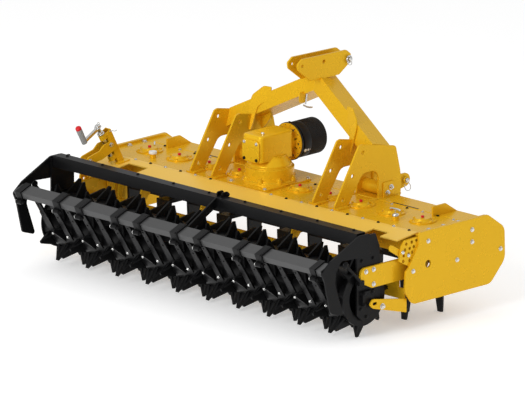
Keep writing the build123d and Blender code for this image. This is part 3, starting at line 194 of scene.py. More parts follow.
# Crank: its spindle leans back from its foot behind the post. Steps run up along the lean.
CRANK_X = -1075
LEAN = np.array([0.0, -0.4719, 0.8817])
SPINDLE_FOOT, SPINDLE_LENGTH = np.array([CRANK_X, -337.0, 547.8]), 277.2
SLEEVE_START, SLEEVE_END, SLEEVE_RADIUS = 12.0, 205.0, 17
NUT_STEPS = np.array([[-34], [14]])
GRIP_FOOT = np.array([CRANK_X, -582.4, 730.9])
GRIP_LENGTH, GRIP_RADIUS = 115, 17
YOKE_PIN, POST_PIN, PIN_HALF = (-568, 622), (-395, 690), 30
HANGER_STEPS, HANGER_RADIUS = (8, 48, 88), 4
CLIP = [(-1056, -400, 770), (-1040, -392, 778), (-1022, -384, 776), (-1012, -380, 784)]
CLIP_RING_STEP, CLIP_RING_SHIFT, CLIP_RING_WAY = 30, (0, 10, 0), (1, 0.4, 0)


class Socket:
    """A shader value: arithmetic on it adds Math nodes, and node() adds any other node."""

    def __init__(self, tree, link):
        self.tree, self.link = tree, link

    def put(self, value, target):
        """Links a shader value to a node's socket, or sets a plain value on it."""
        if isinstance(value, Socket):
            self.tree.links.new(value.link, target)
        else:
            target.default_value = value

    def node(self, kind, output=0, settings=(), stops=(), **inputs):
        """Adds a node: first its settings and its ramp's stops, then its inputs. An input has its
        socket's name, with _ for a space, or its number, as in _0."""
        made = self.tree.nodes.new(kind)
        for name, value in dict(settings).items():
            setattr(made, name, value)
        if stops:
            ramp = made.color_ramp.elements
            while len(ramp) < len(stops):
                ramp.new(1.0)
            for element, (place, colour) in zip(ramp, stops):
                element.position, element.color = place, (*colour, 1.0)
        for name, value in inputs.items():
            number = name[1:]
            key = int(number) if number.isdigit() else name.replace("_", " ")
            self.put(value, made.inputs[key])
        return Socket(self.tree, made.outputs[output])

    def _maths(self, operation, other):
        return self.node("ShaderNodeMath", settings={"operation": operation}, _0=self, _1=other)

    def __add__(self, other):
        return self._maths("ADD", other)

    def __mul__(self, other):
        return self._maths("MULTIPLY", other)

    __radd__, __rmul__ = __add__, __mul__

    def mix(self, low, high):
        """Colour between low and high by this value."""
        colours = {"_6": (*low, 1.0), "_7": (*high, 1.0)}
        return self.node("ShaderNodeMix", 2, {"data_type": "RGBA"}, _0=self, **colours)


def new_material(name):
    """Empty node material with its principled shader, and a socket on Object coordinates."""
    material = bpy.data.materials.new(name)
    material.use_nodes = True
    shader = material.node_tree.nodes["Principled BSDF"]
    coords = material.node_tree.nodes.new("ShaderNodeTexCoord")
    return material, shader, Socket(material.node_tree, coords.outputs["Object"])


def feed(shader, place, **values):
    """Links or sets the shader's inputs by name."""
    for name, value in values.items():
        place.put(value, shader.inputs[name.replace("_", " ")])


def noise(place, scale, detail=2.0):
    return place.node("ShaderNodeTexNoise", _0=place, Scale=scale, Detail=detail)


def spread(grain, middle, width):
    """Values of a grain from 0 to 1 made to lie round a middle, over a width."""
    return grain * width + (middle - width / 2)


def rounded_edges(place, radius, height, strength, distance):
    """Normal with softened edges, and a bump of the given height over it."""
    soft = place.node("ShaderNodeBevel", settings={"samples": 6}, Radius=radius)
    shape = {"Strength": strength, "Distance": distance, "Height": height, "Normal": soft}
    return place.node("ShaderNodeBump", **shape)


def paint(name, colour, shade, roughness, specular, flake=0.0, edge=0.002):
    """Enamel: slow colour drift between two shades, dust in the gloss, fine orange peel, and soft
    edges. The flake is the share of gloss that takes the paint's own colour."""
    material, shader, place = new_material(name)
    peel = noise(place, 380.0, detail=1.0)
    feed(
        shader,
        place,
        Base_Color=noise(place, 3.0).mix(shade, colour),
        Roughness=spread(noise(place, 9.0, detail=5.0), roughness, 0.10),
        Normal=rounded_edges(place, edge, peel, strength=0.03, distance=0.0002),
        Specular_IOR_Level=specular,
        Metallic=flake,
    )
    return material


def metal(name, colour, shade, roughness, streak):
    """Plated or rolled steel: a grain stretched into streaks drives its roughness and colour."""
    material, shader, place = new_material(name)
    settings = {"vector_type": "POINT"}
    stretched = place.node("ShaderNodeMapping", settings=settings, Vector=place, Scale=streak)
    grain = noise(stretched, 60.0, detail=3.0)
    feed(
        shader,
        place,
        Base_Color=grain.mix(shade, colour),
        Metallic=1.0,
        Roughness=spread(grain, roughness, 0.16),
        Normal=rounded_edges(place, 0.001, grain, strength=0.08, distance=0.0004),
    )
    return material


def moulded(name, colour, roughness):
    """Moulded plastic or rubber with a fine grain, a fifth darker in its hollows."""
    material, shader, place = new_material(name)
    grain = noise(place, 320.0)
    feed(
        shader,
        place,
        Base_Color=grain.mix([0.8 * part for part in colour], colour),
        Roughness=spread(grain, roughness, 0.1),
        Normal=rounded_edges(place, 0.0015, grain, strength=0.15, distance=0.0005),
        Specular_IOR_Level=0.3,
    )
    return material


GOLDEN = {"roughness": 0.27, "specular": 0.12, "flake": 0.28}
YELLOW = paint("golden_enamel", (0.810, 0.470, 0.0130), (0.760, 0.435, 0.0110), **GOLDEN)
CASTING = paint(
    "golden_casting", (0.840, 0.490, 0.0130), (0.790, 0.455, 0.0110), **GOLDEN, edge=0.009
)
# Painted highlight: a paler, lit copy of the yellow enamel for the rear strip, whose backward slope
# catches the light.
LIT_STRIP_YELLOW = paint(
    "golden_enamel_painted_highlight", (0.880, 0.560, 0.0850), (0.840, 0.520, 0.0720), 0.33, 0.15, flake=0.10
)
BLACK = paint(
    "black_enamel", (0.0052, 0.0052, 0.0055), (0.0036, 0.0036, 0.0039), 0.34, 0.13
)
# Painted highlight: a lighter, lit copy of the black enamel for the scraper bar, whose tilted top
# catches the sky.
LIT_BAR_BLACK = paint(
    "lit_black_enamel", (0.0560, 0.0560, 0.0565), (0.0480, 0.0480, 0.0485), 0.30, 0.30
)
TINE = paint("dipped_black", (0.0060, 0.0060, 0.0065), (0.0040, 0.0040, 0.0044), 0.42, 0.20)
ZINC = metal("zinc_plate", (0.82, 0.82, 0.80), (0.55, 0.55, 0.54), 0.24, (1.0, 1.0, 0.2))
SCRAPER = metal(
    "rolled_dark_steel", (0.020, 0.020, 0.021), (0.010, 0.010, 0.011), 0.40, (1.0, 0.3, 0.2)
)
GUARD = moulded("guard_plastic", (0.0065, 0.0065, 0.0070), 0.45)
GRIP = moulded("grip_rubber", (0.30, 0.30, 0.29), 0.55)
RED = moulded("red_plastic", (0.66, 0.010, 0.015), 0.35)
CREAM = moulded("pale_plastic", (0.80, 0.80, 0.78), 0.40)

# Finish of each of the record's slots, and of the nodes that differ from their slot.
SLOT_FINISHES = {
    "yellow_paint": YELLOW,
    "black_paint": BLACK,
    "zinc_steel": ZINC,
    "black_plastic": GUARD,
    "scraper_steel": SCRAPER,
    "tine_steel": TINE,
}
# The rear strip and the scraper bar take lit copies of their enamels: painted highlights.
OWN_FINISHES = {"scraper_bar": LIT_BAR_BLACK, "rear_strip": LIT_STRIP_YELLOW, "gearbox_body": CASTING}


def dress_nodes():
    """Gives each CAD node its own finish, or else the finish of its slot."""
    slots = {row["node"]: row["material_slot"] for row in frame["record"]["subparts"]}
    for name, node in frame["nodes"].items():
        node.data.materials.clear()
        node.data.materials.append(OWN_FINISHES.get(name, SLOT_FINISHES[slots[name]]))


def to_metres(places):
    """Places in metres in the frame, from millimetres across, ahead of the rotors' row, and up."""
    return np.asarray(places, dtype=float) * MM + (0.0, ROTOR_LINE, 0.0)


def unit(ways):
    """Ways divided by their lengths."""
    return ways / np.linalg.norm(ways, axis=-1, keepdims=True)


def side_axes(ways):
    """Two directions square to each given way and to each other, from cross products with a guide,
    and the way itself: the guide is up, or across for a steep way."""
    ways = unit(np.asarray(ways, dtype=float))
    guide = np.where(np.abs(ways[..., 2:]) > 0.9, (1.0, 0.0, 0.0), (0.0, 0.0, 1.0))
    across = unit(np.cross(guide, ways))
    return across, np.cross(ways, across), ways


def angles(count, start=0.0):
    """Equal steps of angle round a full turn, the first of them a share of a step from zero."""
    return (np.arange(count) + start) * 2.0 * pi / count


def circle(count, start=0.0):
    """Points of a unit circle: the cosine and the sine of each angle."""
    angle = angles(count, start)
    return np.stack([np.cos(angle), np.sin(angle)], axis=1)


def in_plane(flat, first, second):
    """A flat shape in space: its first numbers along one way plus its second along the other."""
    return flat[..., :1] * first + flat[..., 1:] * second


def ring_quads(rows, columns):
    """Quads between neighbouring rows of a grid whose columns close into a ring."""
    first = np.arange(columns)
    second = (first + 1) % columns
    row = np.arange(rows - 1)[:, None] * columns
    corners = [row + first, row + second, row + columns + second, row + columns + first]
    return np.stack(corners, axis=-1).reshape(-1, 4)


def make_piece(name, grids, finish, body="harrow"):
    """One piece from grids shaped (copies, rows, columns, 3), with poles and seams merged and sharp
    folds kept."""
    points, faces, start = [], [], 0
    for grid in grids:
        rows, columns = grid.shape[-3:-1]
        copies = grid.reshape(-1, rows, columns, 3)
        offsets = start + rows * columns * np.arange(len(copies))
        faces.append((ring_quads(rows, columns) + offsets[:, None, None]).reshape(-1, 4))
        points.append(copies.reshape(-1, 3))
        start += copies.size // 3
    mesh = bpy.data.meshes.new(name)
    mesh.from_pydata(np.concatenate(points), [], np.concatenate(faces).tolist())
    shell = bmesh.new()
    shell.from_mesh(mesh)
    bmesh.ops.remove_doubles(shell, verts=shell.verts, dist=MERGE_REACH)
    bmesh.ops.recalc_face_normals(shell, faces=shell.faces)
    shell.to_mesh(mesh)
    shell.free()
    mesh.shade_smooth()
    mesh.set_sharp_from_angle(angle=SHARP_FOLD)
    mesh.materials.append(finish)
    piece = bpy.data.objects.new(name, mesh)
    bpy.context.scene.collection.objects.link(piece)
    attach(piece, body)
    return piece


def turned(profile, places, ways, size=1.0, columns=24):
    """Turned bodies at many places, each along its own way or all along one: row s is a ring of
    radius profile[s, 0] at height profile[s, 1]. A third number, from 0 to 1, blends the circle
    into a hexagon: the radius is divided by the cosine of the angle from the middle of the
    nearest flat."""
    profile = np.asarray(profile, dtype=float)
    profile = np.pad(profile, ((0, 0), (0, 3 - profile.shape[1])))
    radius, height, flatness = profile.T[..., None]
    from_flat = (angles(columns) + pi / 6) % (pi / 3) - pi / 6
    ring = radius * (1.0 - flatness + flatness / np.cos(from_flat))
    ways = np.broadcast_to(ways, (len(places), 3))
    across, over, along = [axis[:, None, None] for axis in side_axes(ways)]
    grid = in_plane(ring[..., None] * circle(columns), across, over) + height[..., None] * along
    return to_metres(places)[:, None, None] + size * MM * grid


def tube(path, radius, columns=10, closed=False):
    """Round bar along a path: each row is a ring about a path point, square to the path's slope
    there. An open bar ends in a point at the middle of each end face."""
    path = np.asarray(path, dtype=float)
    radius = np.broadcast_to(radius, len(path)).astype(float)
    slope = np.roll(path, -1, 0) - np.roll(path, 1, 0) if closed else np.gradient(path, axis=0)
    across, over, _ = side_axes(slope)
    if closed:
        order = np.r_[np.arange(len(path)), 0]
        radius = radius[order]
    else:
        order = np.r_[0, np.arange(len(path)), len(path) - 1]
        radius = np.r_[0.0, radius, 0.0]
    rings = in_plane(circle(columns), across[order, None], over[order, None])
    return to_metres(path[order, None] + radius[:, None, None] * rings)[None]


def hoop(centre, way, radius, wire, count=32):
    """Ring of wire: tube() carried round a circle about a centre, square to a way."""
    across, over, _ = side_axes(way)
    return tube(centre + radius * in_plane(circle(count), across, over), wire, 8, closed=True)


def slab(outline, centre, first, second, depth, edge):
    """Plate with rounded rims: the outline, in the plane of the first and second ways, is drawn at
    both faces, drawn in by the edge at the rims, and shrinks to the middle of each face."""
    out = np.cross(first, second)
    inner = outline * (1.0 - edge / np.linalg.norm(outline, axis=1, keepdims=True))
    middle = 0.0 * outline
    rows = [(middle, 0), (inner, 0), (outline, edge)]
    rows += [(outline, depth - edge), (inner, depth), (middle, depth)]
    grid = [in_plane(flat, first, second) + height * out for flat, height in rows]
    return to_metres(centre + np.stack(grid))[None]


def soft_square(half_first, half_second, power=6.0, count=48):
    """Outline of a rounded rectangle: a superellipse, whose cosines and sines are raised to two
    parts in the power and keep their signs."""
    spots = circle(count)
    return np.sign(spots) * np.abs(spots) ** (2.0 / power) * (half_first, half_second)


def round_bar(length, radius, count=40):
    """Outline of a bar with round ends: a circle with its halves moved apart along one way."""
    spots = circle(count)
    return radius * spots + np.sign(spots) * (length / 2, 0)


# Profiles: radius, height, and flatness where the body has flats. Sizes are half a head's width.
BOLT = [
    (0.0, 0.0, 0), (1.5, 0.0, 0), (1.5, 0.18, 0), (1.42, 0.24, 0), (1.02, 0.24, 0), (1.0, 0.26, 1),
    (1.0, 0.86, 1), (0.97, 0.95, 0.6), (0.86, 1.02, 0), (0.5, 1.05, 0), (0.0, 1.05, 0),
]
STUD = [
    (0.0, 0.0, 0), (1.5, 0.0, 0), (1.5, 0.18, 0), (1.02, 0.2, 0), (1.0, 0.22, 1), (1.0, 0.95, 1),
    (0.9, 1.05, 0), (0.58, 1.05, 0), (0.58, 1.55, 0), (0.48, 1.65, 0), (0.0, 1.65, 0),
]
BUTTON = [(0.0, 0.0), (1.0, 0.0), (1.0, 0.25), (0.88, 0.5), (0.6, 0.68), (0.0, 0.74)]
PLUG = [
    (0.0, 0.0), (0.8, 0.0), (0.8, 0.35), (1.0, 0.4), (1.0, 0.9), (0.7, 1.15), (0.3, 1.25),
    (0.0, 1.25),
]
LID = [(0.0, 0.0), (1.0, 0.0), (1.0, 0.5), (0.92, 0.62), (0.6, 0.66), (0.55, 0.5), (0.0, 0.5)]
NECK = [(0.0, 0.0), (1.0, 0.0), (1.0, 1.2), (0.8, 1.3), (0.0, 1.3)]
DOME = [(0.0, 0.0), (1.06, 0.0), (1.08, 0.5), (1.0, 0.85), (0.7, 1.15), (0.0, 1.3)]


def both(distance):
    """The same distance to the left and to the right."""
    return [side * distance for side in SIDES]


def rows_on(faces, spots):
    """Places on faces across the machine: one row for each face and each (ahead, up) spot."""
    return [(face, *spot) for face in faces for spot in spots]


def outward(places):
    """Ways that point away from the middle plane, one for each place."""
    return [(np.sign(place[0]), 0, 0) for place in places]


def ring_of(centre, radius, count, first, second, start=0.5):
    """Places round a circle about a centre, in the plane of two ways."""
    return centre + radius * in_plane(circle(count, start), first, second)


def bar_spot(along, below):
    """Ahead and up of a point on the tilted scraper bar: along its top from the front edge, and
    below it, both turned by the bar's tilt."""
    ahead = BAR_FRONT - along * cos(BAR_TILT) + below * sin(BAR_TILT)
    return ahead, BAR_FRONT_UP - along * sin(BAR_TILT) - below * cos(BAR_TILT)


def build_side_fastenings():
    """Bolts of the side plates, stop plates and deck ends, and the levers behind the stop plates:
    bars with round ends, from the lever's rear to its front."""
    side = rows_on(both(SIDE_FACE), SIDE_BOLTS)
    stops = rows_on(both(STOP_FACE), STOP_PINS)
    ends = rows_on(both(END_ROW_X), [(ahead, DECK_TOP) for ahead in END_ROW])
    grids = [
        turned(BOLT, side, outward(side), size=9.5),
        turned(BUTTON, stops, outward(stops), size=12),
        turned(BOLT, ends, UP, size=11),
    ]
    make_piece("side_bolts", grids, ZINC)
    run, middle = unit(LEVER_FRONT - LEVER_REAR), (LEVER_REAR + LEVER_FRONT) / 2
    outline = round_bar(np.linalg.norm(LEVER_FRONT - LEVER_REAR), LEVER_RADIUS)
    ways = (0, *run), (0, -run[1], run[0])
    levers = [
        slab(outline, (across, *middle), *ways, depth=LEVER_DEPTH, edge=1.5)
        for across in (LEVER_INNER, -LEVER_INNER - LEVER_DEPTH)
    ]
    make_piece("stop_levers", levers, YELLOW)


def build_deck_fastenings():
    """Rows of bolts along the rear strip and the front beam, bright and dark by turns. Each cap has
    a circle of bolts, a raised rim and a red plug. Two thin dark strips on the front beam stand in
    for the shaded slits between the beam and the deck: painted shadow."""
    across = HALF_WIDTH - ROW_INSET - ROW_PITCH * np.arange(ROW_BOLTS)
    strip = [(x, *STRIP_ROW) for x in across if abs(x - GEARBOX_X) > GEARBOX_GAP]
    front = [(x, *FRONT_ROW) for x in across if abs(abs(x) - HEADSTOCK_MIDDLE) > HEADSTOCK_GAP]
    bright = [turned(BOLT, row, UP, size=7) for row in (strip[1::2], front[::2])]
    make_piece("deck_bolts", bright, ZINC)
    dark = [turned(BOLT, row, UP, size=6.5) for row in (strip[::2], front[1::2])]
    make_piece("deck_dark_bolts", dark, BLACK)
    centres = (np.arange(ROTORS) + 0.5) * ROTOR_PITCH - HALF_WIDTH
    caps = [(x, 0, CAP_FLANGE_TOP) for x in centres[centres != GEARBOX_X]]
    bolts = [ring_of(cap, CAP_BOLT_CIRCLE, CAP_BOLTS, RIGHT, AHEAD, start=0) for cap in caps]
    rims = [hoop(cap, UP, CAP_RIM_RADIUS, CAP_RIM_WIRE) for cap in caps]
    bolts = turned(BOLT, np.concatenate(bolts), UP, size=7, columns=FEW)
    make_piece("cap_bolts", [bolts, *rims], YELLOW)
    # Painted shadow: thin dark strips where the slits between the deck and the front beam lie in
    # shade.
    outline = round_bar(SLIT_SHADOW_LENGTH, SLIT_SHADOW_RADIUS)
    across, ahead = SLIT_SHADOW_PLACE
    slit_shadow_strips = [
        slab(outline, (x, ahead, DECK_TOP), RIGHT, AHEAD, SLIT_SHADOW_DEPTH, edge=0.4)
        for x in both(across)
    ]
    make_piece("deck_slit_shadows", slit_shadow_strips, GUARD)
    plugs = [(x, 0, CAP_HUB_TOP) for x, _, _ in caps]
    make_piece("cap_plugs", [turned(PLUG, plugs, UP, size=10)], RED)


def build_deck_fittings():
    """Filler cap on the left of the deck, dipstick with a cross handle on the right, and a lifting
    eye: a ring of wire."""
    necks = [(x, NECK_AHEAD, DECK_TOP) for x in both(NECK_X)]
    make_piece("filler_necks", [turned(NECK, necks, UP, NECK_RADIUS)], YELLOW)
    left_lid, right_lid = [[(x, NECK_AHEAD, LID_UP)] for x in both(NECK_X)]
    make_piece("filler_lid", [turned(LID, left_lid, UP, FILLER_RADIUS)], CREAM)
    stick = [(NECK_X, NECK_AHEAD, LID_UP + height) for height in STICK_HEIGHTS]
    handle = [(NECK_X + x, NECK_AHEAD, LID_UP + height) for x, height in HANDLE]
    grids = [
        tube(stick, STICK_RADIUS),
        tube(handle, HANDLE_RADIUS),
        turned(LID, right_lid, UP, STICK_LID_RADIUS),
        hoop(EYE_PLACE, EYE_WAY, EYE_RADIUS, EYE_WIRE),
    ]
    make_piece("deck_fittings", grids, ZINC)


def build_gearbox():
    """Flat cover, a superellipse with a rounded rim, in place of the plain one, its bolts, a circle
    of bolts on the foot, four on the base, and a breather."""
    centre = (GEARBOX_X, COVER_FACE, PTO_UP)
    cover = slab(soft_square(*COVER_HALVES, power=5.0), centre, RIGHT, UP, COVER_DEPTH, edge=2.5)
    piece = make_piece("gearbox_lid", [cover], CASTING)
    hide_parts("gearbox_cover")
    half_across, half_up = COVER_BOLT
    lower, upper = [
        [(GEARBOX_X + x, COVER_FACE - COVER_DEPTH, PTO_UP + up) for x in both(half_across)]
        for up in both(half_up)
    ]
    base = [(GEARBOX_X + x, y, BASE_TOP) for x in both(BASE_BOLT[0]) for y in both(BASE_BOLT[1])]
    foot = ring_of((GEARBOX_X, 0, FOOT_TOP), FOOT_CIRCLE, FOOT_BOLTS, RIGHT, AHEAD)
    make_piece("gearbox_foot_bolts", [turned(BOLT, foot, UP, size=9)], YELLOW)
    grids = [
        turned(BOLT, upper, BACK, size=7),
        turned(BOLT, base, UP, size=9),
        turned(PLUG, [BREATHER], UP, size=11),
    ]
    make_piece("gearbox_bolts", grids, ZINC)
    make_piece("gearbox_dark_bolts", [turned(BOLT, lower, BACK, size=7)], BLACK)


def build_guard():
    """Guard round the input shaft: a flange, a narrow ring, a step, a plain band, and a wide tube
    whose radius swells by a small sine along its length, turned about the shaft, with the inner
    wall as the way back. Studs on its side, and buttons, slots and a knob on the input flange."""
    along = np.linspace(RIB_START, RIB_END, RIB_ROWS)
    wave = np.sin((along - GUARD_STEP) * 2.0 * pi / RIB_PITCH)
    ribs = GUARD_RADIUS - RIB_HEIGHT + RIB_HEIGHT * wave
    inner_root, inner = GUARD_ROOT_RADIUS - GUARD_WALL, GUARD_RADIUS - GUARD_WALL
    outside = [
        (inner_root, GUARD_ROOT),
        (GUARD_FLANGE, GUARD_ROOT),
        (GUARD_FLANGE, GUARD_ROOT + 9),
        (GUARD_ROOT_RADIUS, GUARD_ROOT + 12),
        (GUARD_ROOT_RADIUS, GUARD_STEP),
        (GUARD_RADIUS - 2, GUARD_STEP),
        (GUARD_RADIUS, GUARD_STEP + 3),
        (GUARD_RADIUS, GUARD_BAND_END),
        (GUARD_RADIUS - 3, GUARD_BAND_END + 2),
    ]
    mouth_and_inside = [
        (GUARD_RADIUS, GUARD_MOUTH - 6),
        (GUARD_RADIUS, GUARD_MOUTH - 1),
        (GUARD_RADIUS - 1, GUARD_MOUTH),
        (inner, GUARD_MOUTH),
        (inner, GUARD_STEP + GUARD_WALL),
        (inner_root, GUARD_STEP + GUARD_WALL),
        (inner_root, GUARD_ROOT),
    ]
    profile = np.concatenate([outside, np.stack([ribs, along], axis=1), mouth_and_inside])
    grid = turned(profile, [(GEARBOX_X, 0, PTO_UP)], AHEAD, columns=96)
    piece = make_piece("guard_tube", [grid], GUARD)
    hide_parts("pto_guard")
    way = np.array([cos(STUD_TURN), 0.0, sin(STUD_TURN)])
    studs = [
        turned(BUTTON, [(GEARBOX_X, ahead, PTO_UP) + (GUARD_RADIUS - 2) * way], way, size)
        for ahead, size in STUDS
    ]
    make_piece("guard_studs", studs, CREAM)
    centre = (GEARBOX_X, FLANGE_FACE, PTO_UP)
    buttons = ring_of(centre, FLANGE_CIRCLE, FLANGE_BUTTONS, RIGHT, UP)
    outline = round_bar(SLOT_LENGTH, SLOT_RADIUS)
    slots = []
    for run in in_plane(circle(SLOTS, 0.5), RIGHT, UP):
        square = (run[2], 0, -run[0])
        slots.append(slab(outline, centre + SLOT_CIRCLE * run, run, square, SLOT_DEPTH, edge=0.3))
    buttons = turned(BUTTON, buttons, BACK, size=3.2, columns=FEW)
    make_piece("flange_slots", [buttons, turned(PLUG, [KNOB_PLACE], UP, size=7), *slots], GUARD)


def build_input_shaft():
    """Splined input shaft with a round collar at its root: the radius falls by a spline's depth
    where the cosine of six times the angle is low, by a smooth step. The third number of a row
    says whether the splines are cut there."""
    rise = np.cos(SPLINES * angles(SHAFT_COLUMNS)) + SPLINE_SHIFT
    groove = SPLINE_DEPTH / (1.0 + np.exp(SPLINE_STEEPNESS * rise))
    lock = [SHAFT_END - step for step in LOCK_FROM_END]
    rows = [
        (0.0, SHAFT_START, 0),
        (SHAFT_COLLAR_RADIUS, SHAFT_START, 0),
        (SHAFT_COLLAR_RADIUS, SHAFT_COLLAR - 2, 0),
        (SHAFT_COLLAR_RADIUS - 2, SHAFT_COLLAR, 0),
        (SHAFT_RADIUS, SHAFT_COLLAR, 0),
        (SHAFT_RADIUS, SHAFT_COLLAR + 1, 1),
        (SHAFT_RADIUS, lock[0], 1),
        (SHAFT_RADIUS - LOCK_DEPTH, lock[1], 0),
        (SHAFT_RADIUS - LOCK_DEPTH, lock[2], 0),
        (SHAFT_RADIUS, lock[3], 1),
        (SHAFT_RADIUS, SHAFT_END - 2, 1),
        (SHAFT_RADIUS - 2.5, SHAFT_END, 0),
        (0.0, SHAFT_END, 0),
    ]
    radius, height, cut = np.array(rows).T[..., None]
    ring = np.maximum(radius - cut * groove, 0.0)[..., None] * circle(SHAFT_COLUMNS)
    grid = in_plane(ring, RIGHT, UP) + height[..., None] * AHEAD + (GEARBOX_X, 0, PTO_UP)
    piece = make_piece("splined_shaft", [to_metres(grid)[None]], ZINC, "input_shaft")
    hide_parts("pto_shaft")


def build_linkage():
    """Pads and bolts on the outer headstock plates, rings and end buttons on the linkage pins, and
    the rings of their clips."""
    outer = HEADSTOCK_FACES[-1]
    outline = soft_square(*PAD_HALVES, power=9.0)
    pads = [
        slab(outline, (side * outer, *PAD_PLACE), (0, side, 0), UP, PAD_DEPTH, edge=1.5)
        for side in SIDES
    ]
    for across in both(HITCH_PIN_END):
        pads.append(hoop((across, *HITCH_PIN), RIGHT, radius=19, wire=5))
    make_piece("hitch_pads", pads, YELLOW)
    bolts = rows_on(both(outer + PAD_DEPTH), PAD_BOLTS)
    ends = rows_on(both(HITCH_PIN_END + 5), [HITCH_PIN]) + [(TOP_PIN_END + 8, *TOP_PIN)]
    grids = [
        turned(STUD, bolts, outward(bolts), size=11),
        turned(BUTTON, ends, outward(ends), size=12),
        hoop((TOP_PIN_END - 2, *TOP_PIN), RIGHT, radius=21, wire=3),
        hoop((TOP_PIN_END, *TOP_RING_PLACE), TOP_RING_WAY, radius=17, wire=2.2),
    ]
    for across in both(HITCH_PIN_END + 2):
        grids.append(hoop((across, *HITCH_RING_PLACE), HITCH_RING_WAY, radius=24, wire=2.4))
    make_piece("linkage_clips", grids, ZINC)


def build_mast_hook():
    """Bracket under the left mast tube near the head, with a straight rod down from an eye, and a
    foot that sags by part of a sine."""
    outline = soft_square(BRACKET_HALF, BRACKET_HALF, power=5.0)
    bracket = slab(outline, BRACKET_PLACE, AHEAD, UP, BRACKET_DEPTH, edge=1.2)
    make_piece("hook_bracket", [bracket], YELLOW)
    share = np.linspace(0.0, 1.0, 24)[:, None]
    drop = HOOK_TOP + share * HOOK_DROP
    foot = HOOK_FOOT + share * HOOK_FOOT_RUN + np.sin(3 * share) * HOOK_SAG
    eye = hoop(HOOK_TOP, RIGHT, radius=9, wire=3)
    make_piece("mast_hook", [tube(drop, HOOK_WIRE), tube(foot, HOOK_WIRE), eye], ZINC)


def build_mast_collars():
    """Collar plates on the rear of the tubes' feet: a star-shaped outline of corners, each side
    split into short steps and softened by the mean of each point and its neighbours."""
    share = np.linspace(0.0, 1.0, 6, endpoint=False)[:, None]
    sides = np.roll(COLLAR_CORNERS, -1, 0) - COLLAR_CORNERS
    outline = (COLLAR_CORNERS[:, None] + share * sides[:, None]).reshape(-1, 2)
    outline = (np.roll(outline, 1, 0) + 2 * outline + np.roll(outline, -1, 0)) / 4 - COLLAR_MIDDLE
    across, up = COLLAR_MIDDLE
    plates = []
    for side in SIDES:
        run = (side * COLLAR_RUN[0], COLLAR_RUN[1], 0)
        centre = (side * across, COLLAR_AHEAD, up)
        depth, edge = side * COLLAR_DEPTH, side * COLLAR_EDGE
        plates.append(slab(outline, centre, run, COLLAR_RISE, depth, edge))
    make_piece("mast_collars", plates, YELLOW)


def build_crank():
    """Grip whose radius swells with a quarter of a sine, its red end, a sleeve and nuts on the
    spindle, the pins of the yoke and the post, the yoke's hanger, and a clip with its ring."""
    share = np.linspace(0.0, 1.0, 18)
    swell = 0.62 + 0.42 * np.sin(np.clip(share * 1.25, 0, 1) * pi / 2)
    radius = np.maximum(GRIP_RADIUS * swell + 0.6, GRIP_RADIUS + 0.4)
    grip = GRIP_FOOT + (3 + share[:, None] * (GRIP_LENGTH - 16)) * LEAN
    make_piece("crank_grip", [tube(grip, radius, columns=28)], GRIP)
    end = GRIP_FOOT + (GRIP_LENGTH - 14) * LEAN
    make_piece("crank_grip_end", [turned(DOME, [end], LEAN, GRIP_RADIUS)], RED)
    top = SPINDLE_FOOT + SPINDLE_LENGTH * LEAN
    pins = [(CRANK_X + half, *pin) for pin in (YOKE_PIN, POST_PIN) for half in both(PIN_HALF)]
    hanger = [(CRANK_X, YOKE_PIN[0], YOKE_PIN[1] - step) for step in HANGER_STEPS]
    sleeve = SPINDLE_FOOT + np.linspace(SLEEVE_START, SLEEVE_END, 8)[:, None] * LEAN
    ring = top + CLIP_RING_STEP * LEAN + CLIP_RING_SHIFT
    grids = [
        tube(sleeve, SLEEVE_RADIUS, columns=24),
        turned(BOLT, top + NUT_STEPS * LEAN, LEAN, size=15),
        turned(BOLT, pins, [LEFT, RIGHT] * 2, size=10),
        tube(hanger, HANGER_RADIUS),
        hoop(ring, CLIP_RING_WAY, radius=17, wire=2),
        tube(CLIP, radius=2.5),
    ]
    make_piece("crank_fittings", grids, ZINC)


def build_roller_frame():
    """Bolts on the arms, end plates and bearing blocks, and the brace rods between the struts and
    the end plates, each with a button at its top and a pad at its foot."""
    arms = rows_on(both(ARM_FACE), ARM_BOLTS)
    make_piece("arm_bolts", [turned(BOLT, arms, outward(arms), size=10)], ZINC, "roller_frame")
    ends = rows_on(both(END_FACE), [END_STUD, *END_BOLTS])
    ahead, up = ROLLER_PLACE
    spots = [(ahead + x, up + y) for x in both(BLOCK_BOLT) for y in both(BLOCK_BOLT)]
    block = rows_on(both(BLOCK_FACE), spots)
    eyes = rows_on(both(STRUT_FACE), [BRACE_TOP])
    outline = soft_square(*BRACE_PAD, power=5.0)
    rods = []
    for side in SIDES:
        x = side * (STRUT_FACE + BRACE_GAP)
        path = rows_on([x], [BRACE_TOP, BRACE_MIDDLE, BRACE_FOOT])
        foot = (side * END_FACE, *BRACE_FOOT)
        rods.append(tube(path, BRACE_RADIUS, columns=14))
        rods.append(slab(outline, foot, (0, side, 0), UP, BRACE_PAD_DEPTH, edge=2))
    grids = [
        turned(BOLT, ends, outward(ends), size=8),
        turned(BOLT, block, outward(block), size=8),
        turned(BUTTON, eyes, outward(eyes), size=22),
        *rods,
    ]
    make_piece("end_fastenings", grids, BLACK, "roller_frame")


